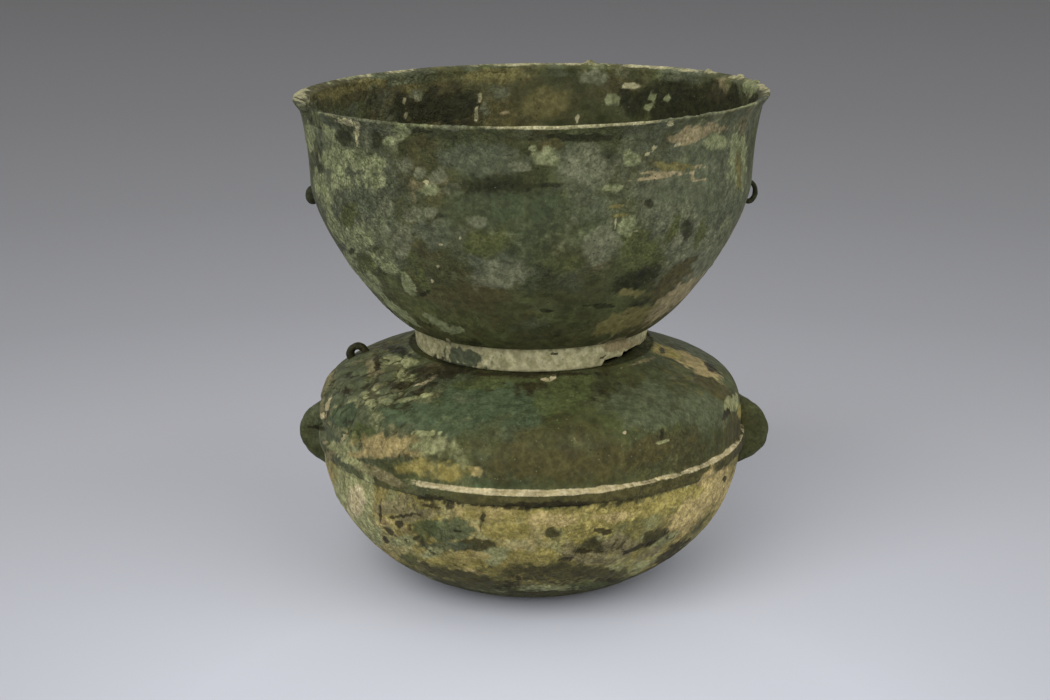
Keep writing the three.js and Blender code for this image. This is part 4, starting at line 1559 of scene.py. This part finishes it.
def patina(name, colours, gloss):
    """Pigments with ragged edges over bare bronze, and the crust's tone, crevices, specks and relief."""
    s = Shader(name)

    def noise(kind, low, high, start=0.0, end=1.0):
        return s.smooth(s.noise(*NOISES[kind]), low, high, start, end)

    colour = s.mix(noise("base", 0.4, 0.62), *[linear(c, GAIN) for c in colours["base"]])
    edges = {kind: s.three(size, k + 2) for k, (kind, size) in enumerate(EDGE_NOISES.items())}
    shade = noise("shade", 0.36, 0.64)
    for pigment in LAYERS:
        edge_noise, channel, ragged, soft, cover = EDGES[pigment]
        edge = s.times(s.minus(edges[edge_noise][channel], 0.5), 2 * ragged)
        factor = s.smooth(s.plus(s.amount(pigment), edge), 0.5 - soft, 0.5 + soft, 0.0, cover)
        colour = s.mix(factor, colour, s.mix(shade, *[linear(c, GAIN) for c in colours[pigment]]))

    lumpy = s.amount("lumpy")
    high, joint, cell = s.nodules(*NODULES["large"])
    small_high, small_joint, small_cell = s.nodules(*NODULES["small"])
    joint = s.times(s.math("MAXIMUM", joint, s.times(small_joint, 0.5)), lumpy)
    fine = s.times(noise("fine", 0.3, 0.7, -1.0, 1.0), s.plus(s.times(lumpy, FINE_LUMPY), FINE_ALL))
    cell = s.minus(s.plus(cell, s.times(small_cell, 0.6)), 0.8)
    cell = s.times(cell, s.times(lumpy, NODULE_TONES))
    tone = s.times(s.plus(fine, 1.0), s.plus(cell, 1.0))
    tone = s.times(tone, noise("blotches", 0.35, 0.65, 1 - BLOTCHES, 1 + BLOTCHES))
    tone = s.times(tone, s.amount("tone"))
    grey = s.node("ShaderNodeCombineColor", {0: tone, 1: tone, 2: tone}).outputs[0]
    colour = s.mix(1.0, colour, grey, "MULTIPLY")

    # Crevices: dark patina and painted shade
    groove = s.plus(s.amount("groove"), s.times(s.minus(s.noise(*NOISES["crevices"]), 0.5), 0.6))
    groove = s.math("MAXIMUM", s.smooth(groove, 0.35, 0.8, 0.0, CREVICES), s.times(joint, JOINTS))
    colour = s.mix(groove, colour, linear(colours["dark"][0], GAIN))
    pale = s.smooth(s.spots(*SPOTS["pale"]), 0.16, 0.09)
    pale = s.times(pale, noise("pale_areas", 0.46, 0.62, 0.0, PALE))
    colour = s.mix(pale, colour, linear(colours["sage"][0], GAIN))
    holes = s.smooth(s.spots(*SPOTS["holes"]), 0.15, 0.07)
    holes = s.times(holes, noise("hole_areas", 0.48, 0.62, 0.0, HOLES))
    colour = s.mix(holes, colour, linear(colours["dark"][1], GAIN))

    rough = noise("gloss", 0.3, 0.7, gloss, gloss + GLOSS_SPREAD)
    relief = s.times(s.noise(*NOISES["grain"]), s.plus(s.times(lumpy, GRAIN_LUMPY), GRAIN_ALL))
    relief = s.plus(relief, s.noise(*NOISES["swell"]))
    domes = s.plus(high, s.times(small_high, SMALL_DOMES))
    relief = s.plus(relief, s.times(domes, lumpy))
    relief = s.minus(relief, s.times(joint, JOINT_DEPTH))
    relief = s.minus(relief, s.times(holes, HOLE_DEPTH))
    bump = s.node("ShaderNodeBump", {"Height": relief, "Strength": BUMP_STRENGTH, "Distance": BUMP_MM * MM})
    shader = s.node("ShaderNodeBsdfPrincipled", {
        "Base Color": colour, "Roughness": rough, "Metallic": 0.0,
        "Specular IOR Level": SPECULAR, "Normal": bump.outputs[0],
    })
    out = s.node("ShaderNodeOutputMaterial")
    s.tree.links.new(shader.outputs[0], out.inputs[0])
    return s.material


def floor_material():
    """Pale floor with a painted pool of light, lightest round the pot and darker far behind it."""
    s = Shader("studio_floor")
    places = {0: s.place, 1: FLOOR_LIGHT_PLACE}
    away = s.node("ShaderNodeVectorMath", places, operation="DISTANCE").outputs["Value"]
    decades = s.math("LOGARITHM", s.math("MAXIMUM", away, FLOOR_NEAREST), 10.0)
    position = s.plus(s.math("DIVIDE", decades, RAMP_DECADES), RAMP_AT_METRE)
    ramp = s.node("ShaderNodeValToRGB", {"Fac": position})
    stops = ramp.color_ramp.elements
    greys = [(math.log10(distance) / RAMP_DECADES + RAMP_AT_METRE, grey) for distance, grey in FLOOR_LIGHT_POOL_GREYS]
    # The ramp begins with two stops, which take the first and the last grey
    for stop, (at, grey) in ((stops[0], greys[0]), (stops[1], greys[-1])):
        stop.position = at
        stop.color = linear(grey)
    for at, grey in greys[1:-1]:
        stops.new(at).color = linear(grey)
    shader = s.node("ShaderNodeBsdfPrincipled", {
        "Base Color": ramp.outputs[0], "Roughness": 0.9, "Specular IOR Level": 0.1,
    })
    out = s.node("ShaderNodeOutputMaterial")
    s.tree.links.new(shader.outputs[0], out.inputs[0])
    return s.material


# Studio

FLOOR_SIDE = 40.0
# Middle of the floor's painted pool of light
FLOOR_LIGHT_PLACE = (0.0, -0.25, 0.0)
FLOOR_NEAREST = 0.05
# The floor's greys lie on a ramp over so many decades of distance, with one metre at this place
RAMP_DECADES = 2.0
RAMP_AT_METRE = 0.66
# Distance in metres and the floor's grey there, a painted pool of light that darkens away from the pot
FLOOR_LIGHT_POOL_GREYS = (
    (0.06, (210, 213, 224)),
    (0.19, (204, 207, 218)),
    (0.38, (184, 186, 195)),
    (0.61, (168, 169, 176)),
    (0.96, (143, 144, 150)),
    (1.51, (124, 125, 129)),
    (2.40, (110, 110, 114)),
    (3.95, (98, 98, 101)),
    (5.0, (94, 94, 96)),
)
WORLD_COLOUR = (1.0, 0.99, 0.96, 1.0)
WORLD_STRENGTH = 0.62
# Soft suns: direction that the light travels in, strength and width in degrees
SUNS = {
    "key": ((0.45, 0.75, -0.62), 1.7, 50),
    "fill": ((-0.8, 0.6, -0.5), 1.0, 60),
}


def make_floor():
    mesh = bpy.data.meshes.new("floor")
    h = FLOOR_SIDE / 2
    mesh.from_pydata([(-h, -h, 0), (h, -h, 0), (h, h, 0), (-h, h, 0)], [], [(0, 1, 2, 3)])
    mesh.materials.append(floor_material())
    floor = bpy.data.objects.new("floor", mesh)
    bpy.context.scene.collection.objects.link(floor)


def make_lights():
    world = bpy.data.worlds.new("studio")
    world.use_nodes = True
    background = world.node_tree.nodes["Background"]
    background.inputs["Color"].default_value = WORLD_COLOUR
    background.inputs["Strength"].default_value = WORLD_STRENGTH
    bpy.context.scene.world = world
    for name, (direction, strength, width) in SUNS.items():
        sun = bpy.data.lights.new(name, "SUN")
        sun.energy = strength
        sun.angle = math.radians(width)
        lamp = bpy.data.objects.new(name, sun)
        lamp.rotation_euler = Vector(direction).to_track_quat("-Z", "Y").to_euler()
        bpy.context.scene.collection.objects.link(lamp)


def make_camera():
    data = bpy.data.cameras.new("camera")
    data.sensor_fit = "HORIZONTAL"
    data.sensor_width = SENSOR_MM
    data.lens = CAMERA_FOCAL_PX / PHOTO_W * SENSOR_MM
    data.clip_start, data.clip_end = CAMERA_CLIP
    camera = bpy.data.objects.new("camera", data)
    camera.location = [c * MM for c in CAMERA_PLACE]
    camera.rotation_euler = (math.pi / 2 - CAMERA_PITCH, 0.0, 0.0)
    bpy.context.scene.collection.objects.link(camera)
    bpy.context.scene.camera = camera


bowl = make_object("bowl", make_bowl(), patina("bowl_patina", BOWL_COLOURS, 0.6))
pot = make_object("pot", make_pot(), patina("pot_patina", POT_COLOURS, 0.58))
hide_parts("zeng")
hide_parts("fu")
for piece in (bowl, pot):
    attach(piece, "root")

make_floor()
make_lights()
make_camera()
bpy.context.scene.view_settings.view_transform = "Standard"
